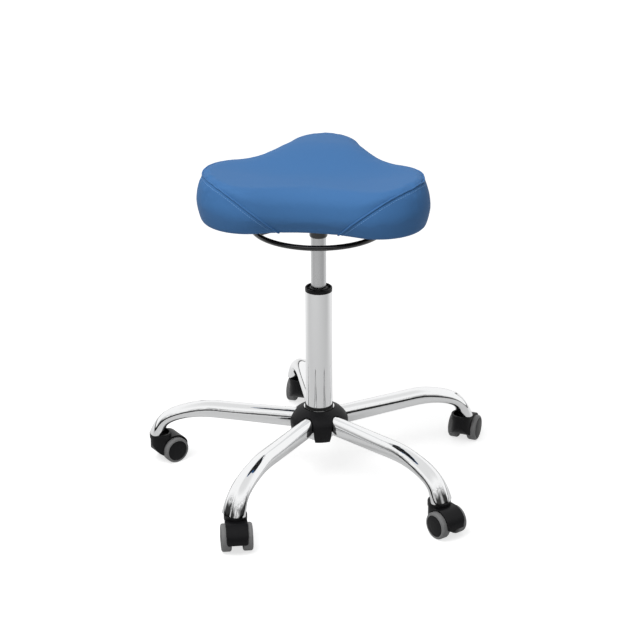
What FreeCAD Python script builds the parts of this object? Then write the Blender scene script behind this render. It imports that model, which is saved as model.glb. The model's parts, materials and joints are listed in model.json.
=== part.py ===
"""Adjustable swivel stool: a saddle seat on a gas lift, over a five-armed tube base on casters.

Millimetres, +Z up. The origin is on the floor, under the axis of the column. The wide side
of the seat faces -Y and its raised pommel faces +Y.
"""

import FreeCAD, Part
import math
import os

from FreeCAD import Matrix, Placement, Rotation, Vector

# ---------------------------------------------------------------- fits
RUNNING_GAP = 0.05          # radial, a shaft that turns or slides in its bore
SNUG_GAP = 0.02             # radial, a piece held fast in its bore
SOFT_GAP = 0.3              # beside foam and covers
TOUCH_GAP = 0.1             # between faces that meet at a stop

# ---------------------------------------------------------------- base
ARM_COUNT = 5
BASE_HEADING = 105.0        # degrees, from +X to the first arm
STEM_CIRCLE_RADIUS = 310.0  # from the column to each caster's stem
ARM_WALL = 2.0
ARM_ROOT_HEIGHT = 113.3     # arm's centre line where it leaves the hub
ARM_RISE = 1.7              # degrees, the straight run climbs outwards
SHOULDER_RADIUS = 200.0
SHOULDER_TURN = 25.7        # degrees
ELBOW_RADIUS = 55.0
ELBOW_TURN = 44.0           # degrees
ROOT_HALF_SIZE = (18.8, 15.0)    # half height and half width of the oval at the hub
RUN_HALF_SIZE = (17.0, 17.0)
ELBOW_HALF_SIZE = (12.8, 19.6)
END_HALF_SIZE = (11.3, 21.5)
ARM_END_OFFSET = 5.0        # middle of the arm's open end, outside the stem circle
ARM_END_GAP = 1.0           # between that end and the caster's hood

SOCKET_OUTER_RADIUS = 7.5
SOCKET_RECESS = 0.8         # above the arm's end
SOCKET_LENGTH = 23.0
SOCKET_CHAMFER = 0.8

# ---------------------------------------------------------------- hub
SLEEVE_RADIUS = 28.5
SLEEVE_BELOW_ARMS = 29.3
SLEEVE_ABOVE_ARMS = 28.7
SLEEVE_BOTTOM = ARM_ROOT_HEIGHT - SLEEVE_BELOW_ARMS
SLEEVE_TOP = ARM_ROOT_HEIGHT + SLEEVE_ABOVE_ARMS
COVER_RADIUS = 54.5
COVER_UPPER_HEIGHT = 33.0   # from the widest part to the top of the ball
COVER_LOWER_HEIGHT = 60.0
COVER_SKIRT = 26.0          # from the widest part to the open bottom
COVER_CENTRE = ARM_ROOT_HEIGHT
COVER_WALL = 2.6
COVER_HOLE_RADIUS = 29.6
COVER_BOTTOM = COVER_CENTRE - COVER_SKIRT
COVER_ARM_GAP = 1.6         # beside each arm, in the cover's arch
COVER_RIB_THICKNESS = 2.0
COVER_RIB_HEIGHT = 40.0
DUST_RING_HEIGHT = 5.0
DUST_RING_WALL = 1.4
DUST_RING_EDGE = 0.8

# ---------------------------------------------------------------- column
TUBE_RADIUS = 25.0
TUBE_WALL = 2.0
TUBE_TOP = 374.0
TUBE_PROUD = 4.0            # the foot stands out below the sleeve
TUBE_BOTTOM = SLEEVE_BOTTOM - TUBE_PROUD
TUBE_TAPER = 18.0           # above the sleeve
TUBE_TAPER_TOP = SLEEVE_TOP + TUBE_TAPER
TUBE_FOOT_RADIUS = 24.3
TUBE_PLATE = 4.0            # plate welded in the foot of the tube
BUSH_LENGTH = 74.0
BUSH_RIM_HEIGHT = 7.0
BUSH_RIM_WALL = 2.2
BUSH_COLLAR_WALL = 2.4
BUSH_RECESS = 4.5
BUSH_RIBS = 12
BUSH_RIB_THICKNESS = 1.4

# ---------------------------------------------------------------- gas spring
LIFT_UP = 95.0
LIFT_DOWN = 85.0
CYLINDER_RADIUS = 14.0
CYLINDER_BORE = 12.0
CYLINDER_BOTTOM = 206.0
CYLINDER_TOP = 499.0
CYLINDER_TIP_RADIUS = 13.2
CYLINDER_HEAD = 14.0
GLAND_LENGTH = 14.0
ROD_RADIUS = 5.0
ROD_NECK_RADIUS = 4.0
ROD_GROOVE_RADIUS = 3.2
ROD_TAIL = 5.0              # length of neck below the tube's plate
PISTON_HEIGHT = 12.0
PISTON_MARGIN = 10.0        # above the gland when the lift is fully up
VALVE_PIN_RADIUS = 2.5
VALVE_PIN_STICKOUT = 8.0
VALVE_HEAD_RADIUS = 4.0
VALVE_HEAD_HEIGHT = 3.0

BALL_COUNT = 8
BALL_RADIUS = 2.0
BALL_CIRCLE_RADIUS = 8.2
RACE_RADIUS = 11.5
RACE_THICKNESS = 3.0
RACE_GROOVE_DEPTH = 0.7
BUMP_RADIUS = 10.5
BUMP_REST_GAP = 1.0         # under the cylinder when the lift is fully down
CLIP_THICKNESS = 1.2
CLIP_RADIUS = 6.5

# ---------------------------------------------------------------- seat bracket and ring lever
NECK_RADIUS = 16.5
NECK_BOTTOM = 479.0
BELL_RADIUS = 31.0
BELL_WALL = 2.5
BELL_FLARE_BOTTOM = 496.0
BELL_FLARE_TOP = 505.0
SEAT_BOTTOM = 530.0
PLATE_THICKNESS = 3.0
PLATE_BOTTOM = SEAT_BOTTOM - PLATE_THICKNESS
BOLT_SPACING = 90.0
PLATE_MARGIN = 12.0         # from the bolts to the plate's edge
PLATE_SIZE = BOLT_SPACING + 2 * PLATE_MARGIN
PLATE_CORNER = 12.0
BOLT_RADIUS = 3.0
BOLT_HEAD_RADIUS = 5.5
BOLT_HEAD_HEIGHT = 3.6
NUT_BARREL_RADIUS = 4.2
NUT_FLANGE_RADIUS = 8.0
NUT_FLANGE = 1.5

RING_RADIUS = 120.0
RING_ROD_RADIUS = 4.8
RING_SPOKES = 3
RING_TILT = 6.0             # degrees
LEVER_DISC_RADIUS = 11.0
LEVER_DISC_HALF = 3.0
LEVER_HEIGHT = CYLINDER_TOP + VALVE_PIN_STICKOUT + LEVER_DISC_HALF
RING_DROP = 10.0            # the spokes slope down by this much outside the bell
RING_HEIGHT = LEVER_HEIGHT - RING_DROP
SPOKE_BEND = 5.0            # from the bell to the bend in each spoke
SPOKE_SIDE_GAP = 1.6

# ---------------------------------------------------------------- seat
BOARD_THICKNESS = 12.0
BOARD_INSET = 28.0          # inside the seat's widest outline
COVER_SHEET = 0.8
COVER_SHEET_INSET = 22.5
SEAT_TAPER = 10.0           # the sides draw in by this much towards the bottom
FRONT_REACH = 144.0         # middle of the wide side
LOBE_REACH = 164.0          # foremost part of each lobe
LOBE_HALF_WIDTH = 206.0
LOBE_RADIUS = 95.0
WAIST_RADIUS = 149.0        # hollow between a lobe and the pommel
POMMEL_REACH = 150.0
POMMEL_RADIUS = 66.0
DISH_HEIGHT = 73.0          # lowest part of the dished top, above the underside
POMMEL_RISE = 29.0
POMMEL_SPREAD = 153.0       # how wide the pommel's ridge falls away
RISE_START = -65.0          # where the top starts to climb towards the pommel
RISE_RUN = 140.0            # length of that climb
LOBE_RISE = 11.0
LOBE_BLEND = 0.2            # share of the half width over which the middle stays flat
SEAT_BOTTOM_ROUND = 10.0
SEAT_TOP_ROUND = 15.0
SEAT_FLOOR = SEAT_BOTTOM + DISH_HEIGHT

# ---------------------------------------------------------------- casters
# trail direction of each caster, degrees from +X: arm by arm from the first one
CASTER_HEADINGS = (82.0, 42.0, -76.0, -46.0, 75.0)
WHEEL_RADIUS = 25.0
WHEEL_WIDTH = 18.0
WHEEL_INNER = 10.0          # from the caster's middle plane to the wheel's inner face
WHEEL_DISC_RADIUS = 20.0
WHEEL_DOME = 1.0
WHEEL_RIM = 2.5
WHEEL_FACE = 3.5
WHEEL_HUB_RADIUS = 6.0
TREAD_SHOULDER = 4.0
AXLE_RADIUS = 3.0
AXLE_HALF_LENGTH = 25.0
CASTER_TRAIL = 21.0
HOOD_HALF_WIDTH = 19.6
HOOD_WALL = 2.5
HOOD_TYRE_GAP = 1.5
HOOD_WEB_HALF = 9.0
HOOD_WEB_REACH = 9.0        # of the web behind the axle, at the bottom
HOOD_TAIL_BOTTOM = 22.5
HOOD_BOWL_BOTTOM = 15.5
HOOD_BOWL_ROUND = 26.0
HOOD_TAIL_CORNER = 5.0      # upright corners behind the wheels
HOOD_TAIL_ROUND = 5.0       # lower corners behind the wheels
HOOD_BOSS_RISE = 6.7        # rim under the arm's end, above the hood
HOOD_BOSS_DROP = 3.0        # how far the rim laps down over the hood
HOOD_BOSS_LIP = 1.2         # how far it stands out from the hood's side
HOOD_BOSS_EDGE = 1.0
HOOD_RECESS_RADIUS = 17.0
HOOD_RECESS_DEPTH = 7.5
STEM_JOURNAL_RADIUS = 5.0
STEM_JOURNAL_BOTTOM = 26.0
STEM_RADIUS = 5.5
STEM_LENGTH = 22.0          # above the collar
STEM_COLLAR_HEIGHT = 2.5
GRIP_RING_HEIGHT = 4.0
GRIP_RING_DEPTH = 0.8
GRIP_RING_BELOW_TOP = 4.0

HOOD_TOP = 2 * WHEEL_RADIUS + HOOD_TYRE_GAP + HOOD_WALL
HOOD_BOSS_TOP = HOOD_TOP + HOOD_BOSS_RISE
ARM_END_HEIGHT = HOOD_BOSS_TOP + ARM_END_GAP
SOCKET_BOTTOM = ARM_END_HEIGHT + SOCKET_RECESS
STEM_TOP = SOCKET_BOTTOM + STEM_LENGTH

OVAL_POINTS = 8
ARM_SECTIONS = 11
FAR = 400.0                 # longer than any piece that a cutter goes through
UP = Vector(0, 0, 1)


# ---------------------------------------------------------------- helpers
def cylinder(radius, bottom, top, x=0.0, y=0.0):
    """Upright cylinder between two heights."""
    return Part.makeCylinder(radius, top - bottom, Vector(x, y, bottom))


def tube(outer, inner, bottom, top, x=0.0, y=0.0):
    """Upright round tube between two heights."""
    return cylinder(outer, bottom, top, x, y).cut(cylinder(inner, bottom - 1, top + 1, x, y))


def box(x0, x1, y0, y1, z0, z1):
    """Box between two corners."""
    return Part.makeBox(x1 - x0, y1 - y0, z1 - z0, Vector(x0, y0, z0))


def turned(profile):
    """Solid turned about the Z axis from a closed outline of (radius, height) points."""
    points = [Vector(radius, 0, height) for radius, height in profile]
    wire = Part.makePolygon(points + points[:1])
    return Part.Face(wire).revolve(Vector(), UP, 360)


def around(shape, angle, distance=0.0):
    """Copy of a shape, moved out along +X and then turned about the Z axis."""
    copy = shape.copy()
    copy.translate(Vector(distance, 0, 0))
    copy.rotate(Vector(), UP, angle)
    return copy


def fused(shapes):
    """One solid from shapes that overlap or touch."""
    return shapes[0].multiFuse(shapes[1:]).removeSplitter()


def smooth(value):
    """Eases from 0 to 1."""
    value = max(0.0, min(1.0, value))
    return value * value * (3 - 2 * value)


def write(name, shape):
    """Write one node."""
    shape.exportStep(f"parts/{name}.step")


def arm_angles():
    """Headings of the arms, in degrees."""
    return [BASE_HEADING + 360.0 / ARM_COUNT * arm for arm in range(ARM_COUNT)]


# ---------------------------------------------------------------- arms
def bend_run(bend, start, turn):
    """How far outwards and down a bend goes, from a slope and through a turn in degrees."""
    first, last = math.radians(start), math.radians(start + turn)
    return bend * (math.sin(last) - math.sin(first)), bend * (math.cos(first) - math.cos(last))


def arm_run():
    """Length of the straight run that brings the arm's end over the caster's stem."""
    shoulder_out, shoulder_down = bend_run(SHOULDER_RADIUS, -ARM_RISE, SHOULDER_TURN)
    elbow_out, elbow_down = bend_run(ELBOW_RADIUS, SHOULDER_TURN - ARM_RISE, ELBOW_TURN)
    final = math.radians(SHOULDER_TURN + ELBOW_TURN - ARM_RISE)
    rise = math.radians(ARM_RISE)
    drop = ARM_ROOT_HEIGHT - shoulder_down - elbow_down - ARM_END_HEIGHT
    out = STEM_CIRCLE_RADIUS + ARM_END_OFFSET - SLEEVE_RADIUS - shoulder_out - elbow_out
    return (out - drop / math.tan(final)) / (math.cos(rise) + math.sin(rise) / math.tan(final))


def arm_marks():
    """Lengths along an arm where its straight run, shoulder, elbow and end finish."""
    run = arm_run()
    shoulder = run + SHOULDER_RADIUS * math.radians(SHOULDER_TURN)
    elbow = shoulder + ELBOW_RADIUS * math.radians(ELBOW_TURN)
    slope = math.radians(SHOULDER_TURN + ELBOW_TURN - ARM_RISE)
    below = arm_path(elbow)[1] - ARM_END_HEIGHT + END_HALF_SIZE[0]
    return run, shoulder, elbow, elbow + below / math.sin(slope)


def arm_path(length):
    """Point and downward slope (degrees) of an arm's centre line, a length along it."""
    rise = math.radians(ARM_RISE)
    radius, height, slope = SLEEVE_RADIUS, ARM_ROOT_HEIGHT, -ARM_RISE
    step = min(length, arm_run())
    radius += step * math.cos(rise)
    height += step * math.sin(rise)
    length -= step
    for bend, turn in ((SHOULDER_RADIUS, SHOULDER_TURN), (ELBOW_RADIUS, ELBOW_TURN)):
        if length <= 0:
            break
        part = min(math.degrees(length / bend), turn)
        out, down = bend_run(bend, slope, part)
        radius += out
        height -= down
        length -= math.radians(part) * bend
        slope += part
    if length > 0:
        radius += length * math.cos(math.radians(slope))
        height -= length * math.sin(math.radians(slope))
    return radius, height, slope


def arm_half_size(length):
    """Half height and half width of the arm's oval section, a length along the arm."""
    run, shoulder, elbow, _ = arm_marks()
    marks = [
        (0.0, ROOT_HALF_SIZE),
        (run, RUN_HALF_SIZE),
        (shoulder, ELBOW_HALF_SIZE),
        (elbow, END_HALF_SIZE),
    ]
    size = marks[0][1]
    for (start, _), (finish, after) in zip(marks, marks[1:]):
        share = smooth((length - start) / (finish - start))
        size = [low + (high - low) * share for low, high in zip(size, after)]
    return size


def arm_skin(inset):
    """Solid lofted through the arm's oval sections, each drawn in by the inset."""
    start = -SLEEVE_RADIUS / 2
    end = arm_marks()[3]
    wires = []
    for number in range(ARM_SECTIONS):
        length = start + (end - start) * number / (ARM_SECTIONS - 1)
        radius, height, slope = arm_path(length)
        angle = math.radians(slope)
        half_height, half_width = arm_half_size(length)
        tall = Vector(math.sin(angle), 0, math.cos(angle))
        wires.append(oval(Vector(radius, 0, height), tall, half_height - inset,
                          half_width - inset))
    return Part.makeLoft(wires, True, False)


def oval(centre, tall, half_height, half_width):
    """Closed oval wire across Y, upright along the tall direction."""
    points = []
    for step in range(OVAL_POINTS):
        angle = math.tau * step / OVAL_POINTS
        up = tall * (half_height * math.cos(angle))
        points.append(centre + up + Vector(0, half_width * math.sin(angle), 0))
    curve = Part.BSplineCurve()
    curve.interpolate(Points=points, PeriodicFlag=True)
    return Part.Wire(curve.toShape())


def arm():
    """One arm along +X: an oval steel tube, bent down and cut level over the caster."""
    shell = arm_skin(0.0).cut(arm_skin(ARM_WALL))
    shell = shell.cut(cylinder(SLEEVE_RADIUS, SLEEVE_BOTTOM - FAR, SLEEVE_TOP + FAR))
    shell = shell.cut(box(0, FAR, -FAR, FAR, -FAR, ARM_END_HEIGHT))
    return shell.cut(cylinder(SOCKET_OUTER_RADIUS, 0, SOCKET_BOTTOM + SOCKET_LENGTH,
                              STEM_CIRCLE_RADIUS)).Solids[0]


def stem_socket():
    """Steel sleeve let into the underside of an arm along +X, for the caster's stem."""
    bore = STEM_RADIUS + SNUG_GAP
    sleeve = turned([
        (bore, SOCKET_BOTTOM),
        (SOCKET_OUTER_RADIUS - SOCKET_CHAMFER, SOCKET_BOTTOM),
        (SOCKET_OUTER_RADIUS, SOCKET_BOTTOM + SOCKET_CHAMFER),
        (SOCKET_OUTER_RADIUS, SOCKET_BOTTOM + SOCKET_LENGTH),
        (bore, SOCKET_BOTTOM + SOCKET_LENGTH),
    ])
    return around(sleeve, 0, STEM_CIRCLE_RADIUS)


# ---------------------------------------------------------------- hub
def tube_radius_at(height):
    """Outer radius of the stand tube, which tapers below the hub's top."""
    share = (height - TUBE_BOTTOM) / (TUBE_TAPER_TOP - TUBE_BOTTOM)
    return TUBE_FOOT_RADIUS + (TUBE_RADIUS - TUBE_FOOT_RADIUS) * min(share, 1.0)


def hub_sleeve():
    """Steel sleeve that the arms are welded to, with a tapered bore for the stand tube."""
    return turned([
        (tube_radius_at(SLEEVE_BOTTOM) + SNUG_GAP, SLEEVE_BOTTOM),
        (SLEEVE_RADIUS, SLEEVE_BOTTOM),
        (SLEEVE_RADIUS, SLEEVE_TOP),
        (tube_radius_at(SLEEVE_TOP) + SNUG_GAP, SLEEVE_TOP),
    ])


def cover_ball(inset):
    """Flattened ball with a lower top than bottom, drawn in by the inset."""
    wide = COVER_RADIUS - inset
    quarters = []
    for tall in (COVER_UPPER_HEIGHT - inset, COVER_LOWER_HEIGHT - inset):
        ball = Part.makeSphere(1.0)
        stretch = Matrix()
        stretch.scale(wide, wide, tall)
        ball = ball.transformGeometry(stretch)
        ball.translate(Vector(0, 0, COVER_CENTRE))
        quarters.append(ball)
    upper, lower = quarters
    upper = upper.common(cylinder(FAR, COVER_CENTRE, FAR))
    lower = lower.common(cylinder(FAR, 0, COVER_CENTRE))
    return upper.fuse(lower)


def arch_cutter():
    """Arched opening in the cover round an arm along +X, open at the bottom."""
    half_height = ROOT_HALF_SIZE[0] + COVER_ARM_GAP
    half_width = ROOT_HALF_SIZE[1] + COVER_ARM_GAP
    arch = Part.Face(oval(Vector(0, 0, ARM_ROOT_HEIGHT), UP, half_height, half_width))
    below = box(0, FAR, -half_width, half_width, 0, ARM_ROOT_HEIGHT)
    return arch.extrude(Vector(FAR, 0, 0)).fuse(below)


def cover_ribs():
    """Ribs inside the cover, between the arms, that centre it on the sleeve."""
    ribs = []
    middle = COVER_CENTRE
    for angle in arm_angles():
        rib = box(SLEEVE_RADIUS + SOFT_GAP, COVER_RADIUS, -COVER_RIB_THICKNESS / 2,
                  COVER_RIB_THICKNESS / 2, middle - COVER_RIB_HEIGHT / 2,
                  middle + COVER_RIB_HEIGHT / 2)
        rib = rib.common(cover_ball(COVER_WALL / 2))
        ribs.append(around(rib, angle + 180.0 / ARM_COUNT))
    return ribs


def hub_cover():
    """Moulded shell over the hub, with a hole for the column and an arch for each arm."""
    shell = cover_ball(0.0).cut(cover_ball(COVER_WALL))
    shell = fused([shell] + cover_ribs())
    shell = shell.cut(cylinder(COVER_HOLE_RADIUS, COVER_CENTRE, FAR))
    shell = shell.cut(box(-FAR, FAR, -FAR, FAR, 0, COVER_BOTTOM))
    for angle in arm_angles():
        shell = shell.cut(around(arch_cutter(), angle))
    return shell.Solids[0]


def dust_ring():
    """Ring that closes the gap round the tube, on top of the sleeve."""
    bore = TUBE_RADIUS + SNUG_GAP
    return turned([
        (bore, SLEEVE_TOP),
        (bore + DUST_RING_WALL, SLEEVE_TOP),
        (bore + DUST_RING_WALL, SLEEVE_TOP + DUST_RING_HEIGHT - DUST_RING_EDGE),
        (bore + DUST_RING_WALL - DUST_RING_EDGE, SLEEVE_TOP + DUST_RING_HEIGHT),
        (bore, SLEEVE_TOP + DUST_RING_HEIGHT),
    ])


# ---------------------------------------------------------------- column
def stand_tube():
    """Outer tube of the column, tapered into the hub, with its foot plate."""
    plate_top = TUBE_BOTTOM + TUBE_PLATE
    bore = TUBE_RADIUS - TUBE_WALL
    return turned([
        (ROD_NECK_RADIUS + TOUCH_GAP, TUBE_BOTTOM),
        (TUBE_FOOT_RADIUS, TUBE_BOTTOM),
        (TUBE_RADIUS, TUBE_TAPER_TOP),
        (TUBE_RADIUS, TUBE_TOP),
        (bore, TUBE_TOP),
        (bore, TUBE_TAPER_TOP),
        (TUBE_FOOT_RADIUS - TUBE_WALL, plate_top),
        (ROD_NECK_RADIUS + TOUCH_GAP, plate_top),
    ])


def guide_bush():
    """Plastic bush that guides the cylinder, with a ribbed collar above the tube."""
    bore = CYLINDER_RADIUS + RUNNING_GAP
    rim_top = TUBE_TOP + BUSH_RIM_HEIGHT
    recess_inner = bore + BUSH_COLLAR_WALL
    recess_outer = TUBE_RADIUS - BUSH_RIM_WALL
    body = turned([
        (bore, TUBE_TOP - BUSH_LENGTH),
        (TUBE_RADIUS - TUBE_WALL - SNUG_GAP, TUBE_TOP - BUSH_LENGTH),
        (TUBE_RADIUS - TUBE_WALL - SNUG_GAP, TUBE_TOP),
        (TUBE_RADIUS - SNUG_GAP, TUBE_TOP),
        (TUBE_RADIUS - SNUG_GAP, rim_top - BUSH_RIM_WALL / 2),
        (TUBE_RADIUS - BUSH_RIM_WALL / 2, rim_top),
        (recess_outer, rim_top),
        (recess_outer, rim_top - BUSH_RECESS),
        (recess_inner, rim_top - BUSH_RECESS),
        (recess_inner, rim_top - 1),
        (bore, rim_top - 1),
    ])
    rib = box(recess_inner - 1, recess_outer + 1, -BUSH_RIB_THICKNESS / 2, BUSH_RIB_THICKNESS / 2,
              rim_top - BUSH_RECESS - 1, rim_top - 2)
    ribs = [around(rib, 360.0 / BUSH_RIBS * number) for number in range(BUSH_RIBS)]
    return fused([body] + ribs)


# ---------------------------------------------------------------- gas spring
LOWER_RACE_BOTTOM = TUBE_BOTTOM + TUBE_PLATE
BALL_HEIGHT = LOWER_RACE_BOTTOM + RACE_THICKNESS - RACE_GROOVE_DEPTH + BALL_RADIUS
UPPER_RACE_TOP = 2 * BALL_HEIGHT - LOWER_RACE_BOTTOM
PISTON_BOTTOM = CYLINDER_BOTTOM + LIFT_UP + GLAND_LENGTH + PISTON_MARGIN
CLIP_BOTTOM = TUBE_BOTTOM - TOUCH_GAP - CLIP_THICKNESS


def race(bottom, groove_side):
    """Thrust washer with a groove for the balls in its top (+1) or its bottom (-1)."""
    washer = tube(RACE_RADIUS, ROD_NECK_RADIUS + TOUCH_GAP, bottom, bottom + RACE_THICKNESS)
    face = bottom + RACE_THICKNESS if groove_side > 0 else bottom
    depth = BALL_RADIUS - RACE_GROOVE_DEPTH
    groove = Part.makeTorus(BALL_CIRCLE_RADIUS, BALL_RADIUS + SNUG_GAP,
                            Vector(0, 0, face + groove_side * depth))
    return washer.cut(groove)


def bearing_balls():
    """Ring of balls between the two races."""
    balls = []
    for number in range(BALL_COUNT):
        ball = Part.makeSphere(BALL_RADIUS, Vector(BALL_CIRCLE_RADIUS, 0, BALL_HEIGHT))
        balls.append(around(ball, 360.0 / BALL_COUNT * number))
    return Part.makeCompound(balls)


def piston_rod():
    """Rod that stands on the bearing, with its necked tail and its piston."""
    tail = TUBE_BOTTOM - ROD_TAIL
    top = PISTON_BOTTOM + PISTON_HEIGHT
    piston = CYLINDER_BORE - RUNNING_GAP
    return turned([
        (0, tail),
        (ROD_NECK_RADIUS, tail),
        (ROD_NECK_RADIUS, CLIP_BOTTOM),
        (ROD_GROOVE_RADIUS, CLIP_BOTTOM),
        (ROD_GROOVE_RADIUS, CLIP_BOTTOM + CLIP_THICKNESS),
        (ROD_NECK_RADIUS, CLIP_BOTTOM + CLIP_THICKNESS),
        (ROD_NECK_RADIUS, UPPER_RACE_TOP),
        (ROD_RADIUS, UPPER_RACE_TOP),
        (ROD_RADIUS, PISTON_BOTTOM),
        (piston, PISTON_BOTTOM),
        (piston, top),
        (0, top),
    ])


def retaining_clip():
    """Spring clip in the rod's groove, open on one side, under the tube's plate."""
    ring = tube(CLIP_RADIUS, ROD_GROOVE_RADIUS + SNUG_GAP, CLIP_BOTTOM,
                CLIP_BOTTOM + CLIP_THICKNESS)
    mouth = box(0, FAR, -ROD_GROOVE_RADIUS, ROD_GROOVE_RADIUS, 0, FAR)
    return ring.cut(mouth).Solids[0]


def bump_rubber():
    """Rubber stop on the rod, with a waist, that the cylinder lands on."""
    bottom = UPPER_RACE_TOP
    top = CYLINDER_BOTTOM - LIFT_DOWN - BUMP_REST_GAP
    bore = ROD_RADIUS + SNUG_GAP
    waist = (BUMP_RADIUS + bore) / 2
    third = (top - bottom) / 3
    return turned([
        (bore, bottom),
        (BUMP_RADIUS, bottom),
        (BUMP_RADIUS, bottom + third),
        (waist, bottom + third * 1.5),
        (BUMP_RADIUS, bottom + third * 2),
        (BUMP_RADIUS, top),
        (bore, top),
    ])


def gas_cylinder():
    """Pressure cylinder: straight below the seat bracket, tapered inside it."""
    head_bottom = CYLINDER_TOP - CYLINDER_HEAD
    valve_bore = VALVE_PIN_RADIUS + RUNNING_GAP
    return turned([
        (CYLINDER_BORE, CYLINDER_BOTTOM),
        (CYLINDER_RADIUS, CYLINDER_BOTTOM),
        (CYLINDER_RADIUS, NECK_BOTTOM),
        (CYLINDER_TIP_RADIUS, CYLINDER_TOP),
        (valve_bore, CYLINDER_TOP),
        (valve_bore, head_bottom),
        (CYLINDER_BORE, head_bottom),
    ])


def cylinder_gland():
    """Seal block in the bottom of the cylinder, which the rod slides through."""
    return tube(CYLINDER_BORE - SNUG_GAP, ROD_RADIUS + RUNNING_GAP, CYLINDER_BOTTOM,
                CYLINDER_BOTTOM + GLAND_LENGTH)


def valve_pin():
    """Pin in the cylinder's head that the ring lever presses to free the lift."""
    head_top = CYLINDER_TOP - CYLINDER_HEAD - TOUCH_GAP
    return cylinder(VALVE_PIN_RADIUS, head_top - 1, valve_pin_top()).fuse(
        cylinder(VALVE_HEAD_RADIUS, head_top - VALVE_HEAD_HEIGHT, head_top)).removeSplitter()


def valve_pin_top():
    """Height of the pin's end, just under the lever's disc."""
    return CYLINDER_TOP + VALVE_PIN_STICKOUT - TOUCH_GAP


# ---------------------------------------------------------------- seat bracket
def spoke_angles():
    """Headings of the lever's spokes, in degrees; the first points to +Y."""
    return [90.0 + 360.0 / RING_SPOKES * number for number in range(RING_SPOKES)]


def seat_bracket():
    """Steel socket for the cylinder that opens into a slotted bell under the seat plate."""
    clear = SNUG_GAP
    bell = turned([
        (CYLINDER_RADIUS + clear, NECK_BOTTOM),
        (NECK_RADIUS - 1, NECK_BOTTOM),
        (NECK_RADIUS, NECK_BOTTOM + 2),
        (NECK_RADIUS, BELL_FLARE_BOTTOM),
        (BELL_RADIUS, BELL_FLARE_TOP),
        (BELL_RADIUS, PLATE_BOTTOM),
        (BELL_RADIUS - BELL_WALL, PLATE_BOTTOM),
        (BELL_RADIUS - BELL_WALL, BELL_FLARE_TOP + 1),
        (CYLINDER_TIP_RADIUS + 2, CYLINDER_TOP),
        (CYLINDER_TIP_RADIUS + clear, CYLINDER_TOP),
    ])
    back_drop = (2 * BELL_RADIUS) * math.sin(math.radians(RING_TILT))
    slot_top = LEVER_HEIGHT + RING_ROD_RADIUS + TOUCH_GAP
    slot_bottom = LEVER_HEIGHT - RING_ROD_RADIUS - back_drop
    half = RING_ROD_RADIUS + SPOKE_SIDE_GAP
    slot = box(NECK_RADIUS, FAR, -half, half, slot_bottom, slot_top)
    for angle in spoke_angles():
        bell = bell.cut(around(slot, angle))
    return bell.Solids[0]


def bolt_places():
    """Centres of the four bolts between the seat plate and the board."""
    half = BOLT_SPACING / 2
    return [(x, y) for x in (-half, half) for y in (-half, half)]


def seat_plate():
    """Square steel plate with round corners, on top of the bell."""
    half = PLATE_SIZE / 2
    plate = box(-half, half, -half, half, PLATE_BOTTOM, SEAT_BOTTOM)
    corners = [edge for edge in plate.Edges if edge.BoundBox.ZLength > PLATE_THICKNESS / 2]
    plate = plate.makeFillet(PLATE_CORNER, corners)
    plate = plate.cut(cylinder(CYLINDER_RADIUS, 0, SEAT_BOTTOM + 1))
    for x, y in bolt_places():
        plate = plate.cut(cylinder(BOLT_RADIUS + SOFT_GAP, 0, SEAT_BOTTOM + 1, x, y))
    return plate


def seat_bolts():
    """Bolts from below, through the plate and into the board's nuts."""
    bolts = []
    tip = SEAT_BOTTOM + BOARD_THICKNESS
    for x, y in bolt_places():
        head = cylinder(BOLT_HEAD_RADIUS, PLATE_BOTTOM - BOLT_HEAD_HEIGHT, PLATE_BOTTOM, x, y)
        rim = [edge for edge in head.Edges if edge.BoundBox.ZMax < PLATE_BOTTOM - 1]
        head = head.makeFillet(BOLT_HEAD_HEIGHT / 2, rim[:1])
        socket = cylinder(BOLT_RADIUS * 0.7, 0, PLATE_BOTTOM - BOLT_HEAD_HEIGHT / 2, x, y)
        bolts.append(head.fuse(cylinder(BOLT_RADIUS, PLATE_BOTTOM - 1, tip, x, y)).cut(socket))
    return Part.makeCompound([bolt.removeSplitter() for bolt in bolts])


def board_nuts():
    """Flanged nuts let into the top of the seat board."""
    nuts = []
    top = SEAT_BOTTOM + BOARD_THICKNESS
    for x, y in bolt_places():
        barrel = tube(NUT_BARREL_RADIUS, BOLT_RADIUS + SNUG_GAP, SEAT_BOTTOM + 2, top, x, y)
        flange = tube(NUT_FLANGE_RADIUS, BOLT_RADIUS + SNUG_GAP, top - NUT_FLANGE, top, x, y)
        nuts.append(barrel.fuse(flange).removeSplitter())
    return Part.makeCompound(nuts)


def ring_lever():
    """Ring under the seat on three bent spokes, with a disc over the valve pin."""
    pieces = [Part.makeTorus(RING_RADIUS, RING_ROD_RADIUS, Vector(0, 0, RING_HEIGHT))]
    start = Vector(LEVER_DISC_RADIUS / 2, 0, LEVER_HEIGHT)
    bend = Vector(BELL_RADIUS + SPOKE_BEND, 0, LEVER_HEIGHT)
    end = Vector(RING_RADIUS, 0, RING_HEIGHT)
    level = Part.makeCylinder(RING_ROD_RADIUS, (bend - start).Length, start, bend - start)
    slope = Part.makeCylinder(RING_ROD_RADIUS, (end - bend).Length, bend, end - bend)
    spoke = fused([level, Part.makeSphere(RING_ROD_RADIUS, bend), slope])
    for angle in spoke_angles():
        pieces.append(around(spoke, angle))
    bottom = CYLINDER_TOP + VALVE_PIN_STICKOUT
    pieces.append(cylinder(LEVER_DISC_RADIUS, bottom, LEVER_HEIGHT + LEVER_DISC_HALF))
    return fused(pieces)


# ---------------------------------------------------------------- seat
def arc(centre, radius, start, middle, end):
    """Arc about a centre through the directions of three points."""
    return Part.Arc(*[centre + unit(point - centre) * radius
                      for point in (start, middle, end)]).toShape()


def unit(vector):
    """Vector of length one."""
    return vector * (1 / vector.Length)


def mirrored(point):
    """Point on the other side of the seat's middle plane."""
    return Vector(-point.x, point.y, 0)


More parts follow.
